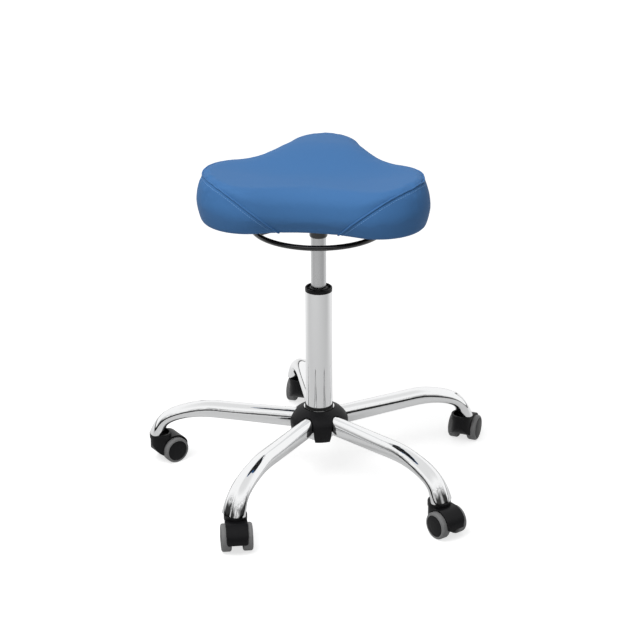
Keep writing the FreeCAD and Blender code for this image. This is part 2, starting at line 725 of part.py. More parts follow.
def seat_outline(inset):
    """Closed outline of the seat: two lobes towards -Y and the pommel towards +Y."""
    lobe = Vector(LOBE_HALF_WIDTH - LOBE_RADIUS, LOBE_RADIUS - LOBE_REACH, 0)
    pommel = Vector(0, POMMEL_REACH - POMMEL_RADIUS, 0)
    # the hollow of the wide side touches both lobes and passes through the front point
    ahead = lobe.y + FRONT_REACH
    front_radius = (lobe.x ** 2 + ahead ** 2 - LOBE_RADIUS ** 2) / (2 * (LOBE_RADIUS - ahead))
    front = Vector(0, -FRONT_REACH - front_radius, 0)
    # the waist touches the lobe and the pommel, and its centre lies outside the seat
    span = pommel - lobe
    to_lobe = LOBE_RADIUS + WAIST_RADIUS
    to_pommel = POMMEL_RADIUS + WAIST_RADIUS
    along = (to_lobe ** 2 - to_pommel ** 2 + span.Length ** 2) / (2 * span.Length)
    aside = math.sqrt(to_lobe ** 2 - along ** 2)
    outward = Vector(span.y, -span.x, 0)
    waist = lobe + unit(span) * along + unit(outward) * aside
    right = [
        arc(lobe, LOBE_RADIUS - inset, front, lobe + Vector(1, -1, 0), waist),
        arc(waist, WAIST_RADIUS + inset, lobe, (lobe + pommel) * 0.5, pommel),
    ]
    left = [
        arc(mirrored(waist), WAIST_RADIUS + inset, mirrored(pommel),
            mirrored((lobe + pommel) * 0.5), mirrored(lobe)),
        arc(mirrored(lobe), LOBE_RADIUS - inset, mirrored(waist),
            mirrored(lobe + Vector(1, -1, 0)), front),
    ]
    tip = arc(pommel, POMMEL_RADIUS - inset, waist, pommel + Vector(0, 1, 0), mirrored(waist))
    hollow = arc(front, front_radius + inset, mirrored(lobe), Vector(), lobe)
    return Part.Wire(right + [tip] + left + [hollow])


def seat_slab(inset, bottom, top):
    """Slab with the seat's outline, drawn in by the inset."""
    slab = Part.Face(seat_outline(inset)).extrude(Vector(0, 0, top - bottom))
    slab.translate(Vector(0, 0, bottom))
    return slab


def seat_height(x, y):
    """Height of the dished top, which climbs to the lobes and to the pommel."""
    side = math.hypot(min(1.0, abs(x) / LOBE_HALF_WIDTH), LOBE_BLEND) - LOBE_BLEND
    lobe = LOBE_RISE * side / (math.hypot(1.0, LOBE_BLEND) - LOBE_BLEND)
    lobe *= smooth(1 - y / POMMEL_REACH)
    ridge = math.exp(-(x / POMMEL_SPREAD) ** 2)
    return SEAT_FLOOR + lobe + POMMEL_RISE * smooth((y - RISE_START) / RISE_RUN) * ridge


def above_seat():
    """Block over the seat's dished top."""
    reach_x, reach_y, steps = LOBE_HALF_WIDTH * 1.2, POMMEL_REACH * 1.25, 10
    rows = []
    for i in range(steps + 1):
        x = reach_x * (2 * i / steps - 1)
        row = []
        for j in range(steps + 1):
            y = reach_y * (2 * j / steps - 1)
            row.append(Vector(x, y, seat_height(x, y)))
        rows.append(row)
    surface = Part.BSplineSurface()
    surface.interpolate(rows)
    return surface.toShape().extrude(Vector(0, 0, FAR))


def seat_cushion():
    """Foam and its cover as one plain solid, with a pocket for the board."""
    top = SEAT_FLOOR + POMMEL_RISE + LOBE_RISE
    low, high = seat_outline(SEAT_TAPER), seat_outline(0.0)
    low.translate(Vector(0, 0, SEAT_BOTTOM))
    high.translate(Vector(0, 0, SEAT_FLOOR - SEAT_TOP_ROUND))
    block = Part.makeLoft([low, high], True, True)
    block = block.fuse(seat_slab(0.0, SEAT_FLOOR - SEAT_TOP_ROUND, top))
    block = block.cut(above_seat())
    rim = [edge for edge in block.Edges if edge.BoundBox.ZMax < SEAT_BOTTOM + 1]
    block = block.makeFillet(SEAT_BOTTOM_ROUND, rim)
    crest = [edge for edge in block.Edges
             if edge.BoundBox.ZMin > SEAT_FLOOR - 5 and edge.BoundBox.ZLength < FAR / 4]
    block = block.makeFillet(SEAT_TOP_ROUND, crest)
    pocket = seat_slab(BOARD_INSET - SOFT_GAP, SEAT_BOTTOM - 1,
                       SEAT_BOTTOM + BOARD_THICKNESS + SOFT_GAP)
    return block.cut(pocket)


def seat_board():
    """Plywood board in the underside of the cushion."""
    board = seat_slab(BOARD_INSET, SEAT_BOTTOM, SEAT_BOTTOM + BOARD_THICKNESS)
    top = SEAT_BOTTOM + BOARD_THICKNESS
    for x, y in bolt_places():
        board = board.cut(cylinder(NUT_BARREL_RADIUS + SNUG_GAP, SEAT_BOTTOM - 1, top + 1, x, y))
        board = board.cut(cylinder(NUT_FLANGE_RADIUS + SNUG_GAP, top - NUT_FLANGE, top + 1, x, y))
    return board


def underside_cover():
    """Thin sheet stapled under the board, cut out round the seat plate."""
    sheet = seat_slab(COVER_SHEET_INSET, SEAT_BOTTOM - COVER_SHEET, SEAT_BOTTOM)
    half = PLATE_SIZE / 2 + SOFT_GAP
    return sheet.cut(box(-half, half, -half, half, 0, FAR * 2))


# ---------------------------------------------------------------- casters
def caster_place(number):
    """Where a caster's own frame lies: its stem on Z, its wheels trailing along +X."""
    angle = math.radians(arm_angles()[number])
    centre = Vector(STEM_CIRCLE_RADIUS * math.cos(angle), STEM_CIRCLE_RADIUS * math.sin(angle), 0)
    return Placement(centre, Rotation(UP, CASTER_HEADINGS[number]))


def placed(shape, number):
    """Copy of a shape from the caster's own frame, in its place."""
    copy = shape.copy()
    copy.Placement = caster_place(number).multiply(copy.Placement)
    return copy


def across(radius, start, end):
    """Cylinder on the axle's line between two distances from the middle plane."""
    return Part.makeCylinder(radius, end - start, Vector(CASTER_TRAIL, start, WHEEL_RADIUS),
                             Vector(0, 1, 0))


def hood_block():
    """Outer form of the hood: round about the stem, arched over the wheels."""
    fender = WHEEL_RADIUS + HOOD_TYRE_GAP + HOOD_WALL
    rear, top, half = CASTER_TRAIL + fender, HOOD_TOP, HOOD_HALF_WIDTH
    corner = HOOD_TAIL_CORNER
    bend = corner * (1 - math.sqrt(0.5))
    plan = Part.Wire([
        Part.makeLine(Vector(0, half, 0), Vector(rear - corner, half, 0)),
        Part.Arc(Vector(rear - corner, half, 0), Vector(rear - bend, half - bend, 0),
                 Vector(rear, half - corner, 0)).toShape(),
        Part.makeLine(Vector(rear, half - corner, 0), Vector(rear, corner - half, 0)),
        Part.Arc(Vector(rear, corner - half, 0), Vector(rear - bend, bend - half, 0),
                 Vector(rear - corner, -half, 0)).toShape(),
        Part.makeLine(Vector(rear - corner, -half, 0), Vector(0, -half, 0)),
        Part.Arc(Vector(0, -half, 0), Vector(-half, 0, 0), Vector(0, half, 0)).toShape(),
    ])
    drop = WHEEL_RADIUS - HOOD_TAIL_BOTTOM
    tail_x = CASTER_TRAIL + math.sqrt(fender ** 2 - drop ** 2)
    diagonal = fender * math.sqrt(0.5)
    bowl = HOOD_BOWL_ROUND
    slack = bowl * (1 - math.sqrt(0.5))
    web_end = CASTER_TRAIL + HOOD_WEB_REACH
    side = Part.Wire([
        Part.makeLine(Vector(-half, 0, top), Vector(CASTER_TRAIL, 0, top)),
        Part.Arc(Vector(CASTER_TRAIL, 0, top),
                 Vector(CASTER_TRAIL + diagonal, 0, WHEEL_RADIUS + diagonal),
                 Vector(tail_x, 0, HOOD_TAIL_BOTTOM)).toShape(),
        Part.makeLine(Vector(tail_x, 0, HOOD_TAIL_BOTTOM),
                      Vector(web_end + HOOD_WALL, 0, HOOD_TAIL_BOTTOM)),
        Part.makeLine(Vector(web_end + HOOD_WALL, 0, HOOD_TAIL_BOTTOM),
                      Vector(web_end, 0, HOOD_BOWL_BOTTOM)),
        Part.makeLine(Vector(web_end, 0, HOOD_BOWL_BOTTOM),
                      Vector(bowl - half, 0, HOOD_BOWL_BOTTOM)),
        Part.Arc(Vector(bowl - half, 0, HOOD_BOWL_BOTTOM),
                 Vector(slack - half, 0, HOOD_BOWL_BOTTOM + slack),
                 Vector(-half, 0, HOOD_BOWL_BOTTOM + bowl)).toShape(),
        Part.makeLine(Vector(-half, 0, HOOD_BOWL_BOTTOM + bowl), Vector(-half, 0, top)),
    ])
    upright = Part.Face(plan).extrude(Vector(0, 0, FAR))
    slab = Part.Face(side).extrude(Vector(0, 2 * FAR, 0))
    slab.translate(Vector(0, -FAR, 0))
    return upright.common(slab).cut(tail_corners())


def tail_corners():
    """What is cut off the lower corners of the hood behind the wheels."""
    size, inner = HOOD_TAIL_ROUND, HOOD_HALF_WIDTH - HOOD_TAIL_ROUND
    floor = HOOD_TAIL_BOTTOM
    block = box(CASTER_TRAIL, FAR, inner, FAR, floor - 1, floor + size)
    rod = Part.makeCylinder(size, FAR, Vector(CASTER_TRAIL, inner, floor + size), Vector(1, 0, 0))
    corner = block.cut(rod)
    other = corner.mirror(Vector(), Vector(0, 1, 0))
    return Part.makeCompound([corner, other])


def caster_hood():
    """Moulded hood with a web between the wheels and a bore for the stem."""
    boss = cylinder(HOOD_HALF_WIDTH + HOOD_BOSS_LIP, HOOD_TOP - HOOD_BOSS_DROP, HOOD_BOSS_TOP)
    crest = [edge for edge in boss.Edges if edge.BoundBox.ZMin > HOOD_BOSS_TOP - HOOD_BOSS_EDGE]
    hood = hood_block().fuse(boss.makeFillet(HOOD_BOSS_EDGE, crest)).removeSplitter()
    pocket = WHEEL_RADIUS + HOOD_TYRE_GAP
    for start, end in ((HOOD_WEB_HALF, FAR), (-FAR, -HOOD_WEB_HALF)):
        hood = hood.cut(across(pocket, start, end))
    hood = hood.cut(cylinder(HOOD_RECESS_RADIUS, HOOD_BOSS_TOP - HOOD_RECESS_DEPTH, FAR))
    hood = hood.cut(cylinder(STEM_JOURNAL_RADIUS + RUNNING_GAP,
                             STEM_JOURNAL_BOTTOM - TOUCH_GAP, FAR))
    hood = hood.cut(across(AXLE_RADIUS + SNUG_GAP, -FAR, FAR))
    return hood.Solids[0]


def caster_stem():
    """Steel stem: a journal in the hood, a collar under the socket and a grooved top."""
    collar_bottom = SOCKET_BOTTOM - STEM_COLLAR_HEIGHT
    groove_top = STEM_TOP - GRIP_RING_BELOW_TOP
    groove_bottom = groove_top - GRIP_RING_HEIGHT
    neck = STEM_RADIUS - GRIP_RING_DEPTH
    collar = SOCKET_OUTER_RADIUS - SOFT_GAP
    return turned([
        (0, STEM_JOURNAL_BOTTOM),
        (STEM_JOURNAL_RADIUS, STEM_JOURNAL_BOTTOM),
        (STEM_JOURNAL_RADIUS, collar_bottom),
        (collar, collar_bottom),
        (collar, SOCKET_BOTTOM),
        (STEM_RADIUS, SOCKET_BOTTOM),
        (STEM_RADIUS, groove_bottom),
        (neck, groove_bottom),
        (neck, groove_top),
        (STEM_RADIUS, groove_top),
        (STEM_RADIUS, STEM_TOP),
        (0, STEM_TOP),
    ])


def grip_ring():
    """Split spring ring in the stem's groove."""
    top = STEM_TOP - GRIP_RING_BELOW_TOP - SNUG_GAP
    ring = tube(STEM_RADIUS, STEM_RADIUS - GRIP_RING_DEPTH + SNUG_GAP,
                top - GRIP_RING_HEIGHT + 2 * SNUG_GAP, top)
    return ring.cut(box(0, FAR, -1, 1, 0, FAR)).Solids[0]


def caster_axle():
    """Steel axle through the web, into both wheels."""
    return across(AXLE_RADIUS, -AXLE_HALF_LENGTH, AXLE_HALF_LENGTH)


def on_axle(shape, side):
    """Shape turned on +Z from a wheel's inner face, laid on the axle's +Y or -Y side."""
    copy = shape.copy()
    copy.rotate(Vector(), Vector(1, 0, 0), -90 * side)
    copy.translate(Vector(CASTER_TRAIL, side * WHEEL_INNER, WHEEL_RADIUS))
    return copy


def wheel_disc():
    """Domed plastic wheel, hollow on its inner side, before it is laid on the axle."""
    rim_inner = WHEEL_DISC_RADIUS - WHEEL_RIM
    web = WHEEL_WIDTH - WHEEL_FACE
    bore = AXLE_RADIUS + RUNNING_GAP
    bore_end = AXLE_HALF_LENGTH - WHEEL_INNER + TOUCH_GAP
    hub_end = HOOD_WEB_HALF + SOFT_GAP - WHEEL_INNER
    return turned([
        (0, bore_end),
        (bore, bore_end),
        (bore, hub_end),
        (WHEEL_HUB_RADIUS, hub_end),
        (WHEEL_HUB_RADIUS, web),
        (rim_inner, web),
        (rim_inner, 0),
        (WHEEL_DISC_RADIUS, 0),
        (WHEEL_DISC_RADIUS, WHEEL_WIDTH - 1),
        (rim_inner, WHEEL_WIDTH),
        (rim_inner / 2, WHEEL_WIDTH + WHEEL_DOME * 0.8),
        (0, WHEEL_WIDTH + WHEEL_DOME),
    ])


def tread():
    """Soft tyre with round shoulders, before it is laid on the axle."""
    ring = tube(WHEEL_RADIUS, WHEEL_DISC_RADIUS, 0, WHEEL_WIDTH)
    rims = [edge for edge in ring.Edges
            if edge.BoundBox.XMax > WHEEL_RADIUS - 1 and edge.BoundBox.ZLength < 1]
    return ring.makeFillet(TREAD_SHOULDER, rims)


# ---------------------------------------------------------------- nodes
def write_base():
    """Arms, hub and column tube."""
    shape = arm()
    socket = stem_socket()
    for number, angle in enumerate(arm_angles(), start=1):
        write(f"arm_{number}", around(shape, angle))
    write("stem_sockets", Part.makeCompound([around(socket, angle) for angle in arm_angles()]))
    write("hub_sleeve", hub_sleeve())
    write("hub_cover", hub_cover())
    write("dust_ring", dust_ring())
    write("stand_tube", stand_tube())
    write("guide_bush", guide_bush())


def write_gas_spring():
    """Bearing, rod, cylinder and valve pin."""
    write("bearing_lower_race", race(LOWER_RACE_BOTTOM, 1))
    write("bearing_upper_race", race(UPPER_RACE_TOP - RACE_THICKNESS, -1))
    write("bearing_balls", bearing_balls())
    write("piston_rod", piston_rod())
    write("retaining_clip", retaining_clip())
    write("bump_rubber", bump_rubber())
    write("gas_cylinder", gas_cylinder())
    write("cylinder_gland", cylinder_gland())
    write("valve_pin", valve_pin())


def write_seat():
    """Bracket, lever and everything that the sitter's weight rests on."""
    write("seat_bracket", seat_bracket())
    write("ring_lever", ring_lever())
    write("seat_plate", seat_plate())
    write("seat_bolts", seat_bolts())
    write("board_nuts", board_nuts())
    write("seat_board", seat_board())
    write("underside_cover", underside_cover())
    write("seat_cushion", seat_cushion())


def write_casters():
    """Five twin-wheel casters."""
    stems = []
    rings = []
    pieces = {"hood": caster_hood(), "axle": caster_axle()}
    for name, shape in (("wheel", wheel_disc()), ("tread", tread())):
        pieces[f"{name}_a"] = on_axle(shape, 1)
        pieces[f"{name}_b"] = on_axle(shape, -1)
    for number in range(ARM_COUNT):
        stems.append(placed(caster_stem(), number))
        rings.append(placed(grip_ring(), number))
        for name, shape in pieces.items():
            write(f"caster_{name}_{number + 1}", placed(shape, number))
    write("caster_stems", Part.makeCompound(stems))
    write("grip_rings", Part.makeCompound(rings))


os.makedirs("parts", exist_ok=True)
write_base()
write_gas_spring()
write_seat()
write_casters()
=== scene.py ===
"""Adjustable swivel stool: upholstery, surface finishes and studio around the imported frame.

Laid out as an add-on and run as a script. Sizes and colours are properties, each group of
pieces has an operator, and a panel in the sidebar lists the operators.
Metres, in the frame's own axes: the origin is on the floor under the column, the wide side
of the seat faces -Y and its pommel faces +Y.
"""

import json
import math

import bmesh
import bpy
import numpy as np
from mathutils import Matrix, Vector
from mathutils.bvhtree import BVHTree
from mathutils.kdtree import KDTree


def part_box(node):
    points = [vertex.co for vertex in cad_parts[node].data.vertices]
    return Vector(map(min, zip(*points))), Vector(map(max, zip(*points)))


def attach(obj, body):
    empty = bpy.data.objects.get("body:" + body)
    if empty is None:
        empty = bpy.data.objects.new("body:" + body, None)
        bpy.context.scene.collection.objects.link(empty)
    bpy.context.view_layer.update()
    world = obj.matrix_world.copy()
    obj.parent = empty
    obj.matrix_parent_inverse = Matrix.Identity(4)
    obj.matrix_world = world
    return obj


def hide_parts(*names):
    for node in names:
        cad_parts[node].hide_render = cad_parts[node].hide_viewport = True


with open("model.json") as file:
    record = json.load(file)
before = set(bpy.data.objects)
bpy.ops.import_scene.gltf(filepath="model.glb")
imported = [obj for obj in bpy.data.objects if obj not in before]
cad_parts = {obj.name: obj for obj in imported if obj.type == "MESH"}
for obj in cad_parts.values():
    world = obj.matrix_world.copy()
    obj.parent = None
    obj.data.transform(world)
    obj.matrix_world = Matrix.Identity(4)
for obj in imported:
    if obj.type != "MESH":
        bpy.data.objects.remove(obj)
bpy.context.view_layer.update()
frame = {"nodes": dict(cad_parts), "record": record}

bl_info = {
    "name": "Swivel stool",
    "version": (1, 0, 0),
    "blender": (4, 5, 0),
    "location": "View3D > Sidebar > Stool",
    "description": "Upholstery, finishes and studio of an adjustable swivel stool",
    "category": "Object",
}

MM = 0.001
UP = Vector((0, 0, 1))

SEAT_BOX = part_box("seat_cushion")
SEAT_BOTTOM = SEAT_BOX[0].z
BOARD_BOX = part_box("seat_board")
PLATE_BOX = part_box("seat_plate")
LINING_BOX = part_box("underside_cover")


def length(name, description, default):
    """Property for a size in metres."""
    return bpy.props.FloatProperty(
        name=name, description=description, default=default, precision=4, unit="LENGTH"
    )


def number(name, description, default):
    """Property for a plain number."""
    return bpy.props.FloatProperty(
        name=name, description=description, default=default, precision=3
    )


def camera_angle(name, description, degrees):
    """Property for an angle of the camera."""
    return bpy.props.FloatProperty(
        name=name, description=description, default=math.radians(degrees), precision=5,
        subtype="ANGLE",
    )


def colour(name, description, default):
    """Property for a linear colour."""
    return bpy.props.FloatVectorProperty(
        name=name, description=description, default=default, size=3, subtype="COLOR"
    )


# ---------------- properties
class StoolSeatSizes(bpy.types.PropertyGroup):
    """Form of the seat and its sewing."""

    half_width: length("Half width", "From the middle to the side of a lobe", 209.6 * MM)
    lobe_reach: length("Lobe reach", "From the column to the front of a lobe", 164 * MM)
    lobe_radius: length("Lobe radius", "Round of each lobe in plan", 95 * MM)
    waist_radius: length("Waist radius", "Hollow between a lobe and the pommel", 149 * MM)
    pommel_reach: length("Pommel reach", "From the column to the tip of the pommel", 150 * MM)
    pommel_radius: length("Pommel radius", "Round of the pommel in plan", 71 * MM)
    front_reach: length("Front reach", "From the column to the middle of the wide side", 144 * MM)
    floor_height: length("Dish height", "Lowest part of the top above the underside", 75.2 * MM)
    pommel_rise: length("Pommel rise", "Height of the pommel above the dish", 29.8 * MM)
    pommel_spread: length("Pommel spread", "How wide the pommel falls away", 163 * MM)
    pommel_fall: number("Pommel fall", "How squarely the pommel falls away", 2.4)
    rise_start: length("Rise start", "Where the top starts to climb to the pommel", -67 * MM)
    rise_run: length("Rise run", "Length of that climb", 138 * MM)
    lobe_rise: length("Lobe rise", "Height of the lobes' rims above the dish", 22.5 * MM)
    lobe_curl: number("Lobe curl", "How late the top climbs towards the lobes' rims", 2.5)
    taper: length("Taper", "How far the sides draw in towards the bottom", 8.5 * MM)
    bulge: length("Bulge", "How far the sides swell between top and bottom", 4.5 * MM)
    top_round: length("Top round", "Round of the pommel's upper edge", 16.5 * MM)
    brow_round: length("Brow round", "Round of the upper edge over the wide side", 30 * MM)
    crease_round: length("Crease round", "Round of the upper edge of a lobe", 5.5 * MM)
    lobe_lean: length("Lobe lean", "How far a lobe's side leans in towards its seam", 11 * MM)
    lean_start: length("Lean start", "From the middle to where the sides start to lean", 69 * MM)
    lean_run: length("Lean run", "Distance in which the lean grows to all of it", 109 * MM)
    bottom_round: length("Bottom round", "Round of the lower edge", 10 * MM)
    rim_step: length("Rim step", "Spacing of the points round the outline", 4 * MM)
    voxel: length("Voxel", "Mesh size of the foam for its simulation", 4.5 * MM)
    pressure: number("Pressure", "Air pressure that fills the cover", 12.0)
    swell_room: length("Swell room", "How far the foam starts inside its form", 1.2 * MM)
    swell_limit: length("Swell limit", "How far the foam may move", 3 * MM)
    seam_foot: length("Seam foot", "From the middle to each seam at the bottom edge", 47 * MM)
    seam_climb: number("Seam climb", "Slope of a seam outwards across the apron", 0.748)
    seam_lean: number("Seam lean", "Slope of a seam's plane towards the back", 0.414)
    welt_radius: length("Welt radius", "Radius of the sewn ridge", 1.7 * MM)
    groove_depth: length("Groove depth", "How deep the seam pulls the foam in", 0.6 * MM)
    groove_width: length("Groove width", "Half width of that groove", 5.0 * MM)
    stitch_offset: length("Stitch offset", "From the welt to the row of stitches", 6.3 * MM)
    stitch_length: length("Stitch length", "Length of one stitch", 4.0 * MM)
    stitch_pitch: length("Stitch pitch", "From one stitch to the next", 4.8 * MM)
    stitch_radius: length("Thread radius", "Radius of the sewing thread", 0.42 * MM)
    lining_inset: length("Lining inset", "From the outline to the lining's edge", 22.5 * MM)
    lining_sag: length("Lining sag", "How far the lining hangs between its staples", 2.0 * MM)
    staple_pitch: length("Staple pitch", "From one staple to the next", 30 * MM)
    staple_crown: length("Staple crown", "Width of a staple", 9 * MM)


class StoolFinishes(bpy.types.PropertyGroup):
    """Colours of the stool's finishes."""

    leatherette: colour("Leatherette", "Blue cover of the seat", (0.061, 0.178, 0.405))
    thread: colour("Thread", "Sewing thread", (0.170, 0.360, 0.640))
    chrome: colour("Chrome", "Plated tube", (0.86, 0.865, 0.87))
    steel: colour("Steel", "Bare steel", (0.52, 0.52, 0.51))
    black_steel: colour("Black steel", "Gloss black coat", (0.008, 0.008, 0.009))
    cylinder: colour("Cylinder", "Satin grey of the gas cylinder", (0.62, 0.625, 0.63))
    hub: colour("Hub", "Black plastic of the hub", (0.009, 0.009, 0.010))
    caster: colour("Caster", "Black plastic of the casters", (0.007, 0.007, 0.008))
    rubber: colour("Rubber", "Black rubber", (0.008, 0.008, 0.008))
    tread: colour("Tread", "Grey tyres", (0.215, 0.215, 0.217))
    wood: colour("Wood", "Plywood", (0.48, 0.30, 0.15))
    lining: colour("Lining", "Cloth under the seat", (0.010, 0.010, 0.011))


class StoolStudio(bpy.types.PropertyGroup):
    """Camera, floor and lamps."""

    camera_place: bpy.props.FloatVectorProperty(
        name="Camera place", description="Where the camera stands", size=3,
        default=(0.41702, -3.16760, 1.63967), precision=5, subtype="TRANSLATION", unit="LENGTH",
    )
    camera_tilt: camera_angle("Camera tilt", "Up from straight down", 67.479)
    camera_turn: camera_angle("Camera turn", "About the upright axis", 7.459)
    camera_roll: camera_angle("Camera roll", "About its own line of sight", -0.2)
    lens: number("Lens", "Focal length in millimetres on a 36 mm sensor", 105.68)
    floor_reach: length("Floor reach", "Half the side of the floor", 14.0)
    floor_glow: number("Floor glow", "White of the floor in the camera's own view", 0.70)
    ambient: number("Ambient", "Light from all round", 0.42)
    key_power: number("Key power", "Watts of the large lamp overhead", 54.0)
    fill_power: number("Fill power", "Watts of the lamp beside the camera", 5.0)


# ---------------- shader building
FINISH = "finish_"  # starts the name of each material made here
LEAST_ROUGHNESS = 0.02  # of any surface


def new_tree(name, inputs, outputs):
    """Node group with named sockets, its input node and its output node."""
    tree = bpy.data.node_groups.new(name, "ShaderNodeTree")
    for label, kind, default in inputs:
        socket = tree.interface.new_socket(label, in_out="INPUT", socket_type=kind)
        socket.default_value = default
    for label, kind in outputs:
        tree.interface.new_socket(label, in_out="OUTPUT", socket_type=kind)
    return tree, tree.nodes.new("NodeGroupInput"), tree.nodes.new("NodeGroupOutput")


def fill(node, **values):
    """Sets plain values on a node's sockets, by their names."""
    for label, value in values.items():
        node.inputs[label.replace("_", " ")].default_value = value


def math_node(tree, operation, first, second=None):
    """Math node fed by sockets or plain numbers. Returns its output."""
    node = tree.nodes.new("ShaderNodeMath")
    node.operation = operation
    for slot, value in enumerate((first, second)):
        if value is None:
            continue
        if isinstance(value, (int, float)):
            node.inputs[slot].default_value = value
        else:
            tree.links.new(value, node.inputs[slot])
    return node.outputs[0]


def times(tree, first, second):
    """Product of two sockets or plain numbers."""
    return math_node(tree, "MULTIPLY", first, second)


def remap(tree, value, low, high, to_low, to_high):
    """Value brought from one range to another, clamped and eased."""
    node = tree.nodes.new("ShaderNodeMapRange")
    node.interpolation_type = "SMOOTHSTEP"
    tree.links.new(value, node.inputs["Value"])
    fill(node, From_Min=low, From_Max=high, To_Min=to_low, To_Max=to_high)
    return node.outputs["Result"]


def noise(tree, coordinates, scale, detail=2.0, roughness=0.5):
    """Noise texture on the given coordinates. scale is a number or a socket."""
    node = tree.nodes.new("ShaderNodeTexNoise")
    tree.links.new(coordinates, node.inputs["Vector"])
    fill(node, Detail=detail, Roughness=roughness)
    if isinstance(scale, (int, float)):
        fill(node, Scale=scale)
    else:
        tree.links.new(scale, node.inputs["Scale"])
    return node.outputs["Fac"]


def object_coordinates(tree):
    """Object coordinates of the piece itself."""
    return tree.nodes.new("ShaderNodeTexCoord").outputs["Object"]


def build_tone(name):
    """Colour and roughness that drift a little over a surface, as from handling."""
    tree, source, sink = new_tree(
        name,
        [
            ("Colour", "NodeSocketColor", (0.5, 0.5, 0.5, 1)),
            ("Colour drift", "NodeSocketFloat", 0.05),
            ("Roughness", "NodeSocketFloat", 0.4),
            ("Roughness drift", "NodeSocketFloat", 0.05),
            ("Scale", "NodeSocketFloat", 20.0),
        ],
        [("Colour", "NodeSocketColor"), ("Roughness", "NodeSocketFloat")],
    )
    place = object_coordinates(tree)
    broad = noise(tree, place, source.outputs["Scale"], detail=3.0)
    finer = times(tree, source.outputs["Scale"], 9.0)
    fine = noise(tree, place, finer)
    drift = math_node(tree, "SUBTRACT", math_node(tree, "ADD", broad, fine), 1.0)
    value = times(tree, drift, source.outputs["Colour drift"])
    tint = tree.nodes.new("ShaderNodeHueSaturation")
    tree.links.new(source.outputs["Colour"], tint.inputs["Color"])
    tree.links.new(math_node(tree, "ADD", value, 1.0), tint.inputs["Value"])
    tree.links.new(tint.outputs["Color"], sink.inputs["Colour"])
    change = times(tree, drift, source.outputs["Roughness drift"])
    total = math_node(tree, "ADD", source.outputs["Roughness"], change)
    roughness = math_node(tree, "MAXIMUM", total, LEAST_ROUGHNESS)
    tree.links.new(roughness, sink.inputs["Roughness"])


def build_grain(name):
    """Pebbled grain of leatherette: cells with soft valleys, over a fine noise."""
    tree, source, sink = new_tree(
        name,
        [("Scale", "NodeSocketFloat", 900.0), ("Valley", "NodeSocketFloat", 0.6)],
        [("Height", "NodeSocketFloat")],
    )
    place = object_coordinates(tree)
    cells = tree.nodes.new("ShaderNodeTexVoronoi")
    cells.feature = "SMOOTH_F1"
    tree.links.new(place, cells.inputs["Vector"])
    tree.links.new(source.outputs["Scale"], cells.inputs["Scale"])
    fill(cells, Smoothness=0.35)
    pebble = math_node(tree, "SUBTRACT", 1.0, cells.outputs["Distance"])
    pebble = times(tree, pebble, source.outputs["Valley"])
    finer = times(tree, source.outputs["Scale"], 2.3)
    fine = times(tree, noise(tree, place, finer), 0.35)
    total = math_node(tree, "ADD", pebble, fine)
    tree.links.new(total, sink.inputs["Height"])


def build_moulding(name):
    """Fine spark-eroded texture of moulded plastic, over a slow ripple."""
    tree, source, sink = new_tree(
        name,
        [("Scale", "NodeSocketFloat", 1500.0), ("Ripple", "NodeSocketFloat", 0.3)],
        [("Height", "NodeSocketFloat")],
    )
    place = object_coordinates(tree)
    fine = noise(tree, place, source.outputs["Scale"], detail=3.0, roughness=0.6)
    slower = times(tree, source.outputs["Scale"], 0.03)
    slow = noise(tree, place, slower, detail=1.0)
    ripple = times(tree, slow, source.outputs["Ripple"])
    total = math_node(tree, "ADD", fine, ripple)
    tree.links.new(total, sink.inputs["Height"])


def build_turning(name):
    """Fine rings about the column, as grinding or turning leaves them."""
    tree, source, sink = new_tree(
        name,
        [("Scale", "NodeSocketFloat", 2500.0)],
        [("Height", "NodeSocketFloat")],
    )
    squash = tree.nodes.new("ShaderNodeMapping")
    fill(squash, Scale=(0.02, 0.02, 1.0))
    tree.links.new(object_coordinates(tree), squash.inputs["Vector"])
    rings = noise(tree, squash.outputs["Vector"], source.outputs["Scale"])
    tree.links.new(rings, sink.inputs["Height"])


GROUPS = {
    "Surface tone": build_tone,
    "Pebbled grain": build_grain,
    "Moulded texture": build_moulding,
    "Turned rings": build_turning,
}


def build_groups():
    """Makes every effect group once."""
    for name, build in GROUPS.items():
        build(name)


class Finish:
    """One material with a Principled shader that the effect groups feed."""

    def __init__(self, name, base, roughness, drift, rough_drift, scale):
        self.material = bpy.data.materials.new(FINISH + name)
        self.material.use_nodes = True
        self.tree = self.material.node_tree
        self.shader = self.tree.nodes["Principled BSDF"]
        tone = self.group("Surface tone", Colour=(*base, 1), Colour_drift=drift,
                          Roughness=roughness, Roughness_drift=rough_drift, Scale=scale)
        self.colour = tone.outputs["Colour"]
        self.tree.links.new(self.colour, self.shader.inputs["Base Color"])
        self.tree.links.new(tone.outputs["Roughness"], self.shader.inputs["Roughness"])

    def group(self, name, **values):
        """Places one of the effect groups in this material, with its own values."""
        node = self.tree.nodes.new("ShaderNodeGroup")
        node.node_tree = bpy.data.node_groups[name]
        fill(node, **values)
        return node

    def relief(self, height, distance, strength):
        """Bump from a height, its distance in metres."""
        bump = self.tree.nodes.new("ShaderNodeBump")
        fill(bump, Distance=distance, Strength=strength)
        self.tree.links.new(height, bump.inputs["Height"])
        self.tree.links.new(bump.outputs["Normal"], self.shader.inputs["Normal"])


# ---------------- materials
def make_leatherette(finishes):
    """Satin blue upholstery vinyl with a fine pebbled grain."""
    finish = Finish("blue_leatherette", finishes.leatherette, roughness=0.58, drift=0.035,
                    rough_drift=0.05, scale=14.0)
    grain = finish.group("Pebbled grain", Scale=850.0)
    finish.relief(grain.outputs["Height"], 0.12 * MM, strength=0.55)
    fill(finish.shader, Specular_IOR_Level=0.16)


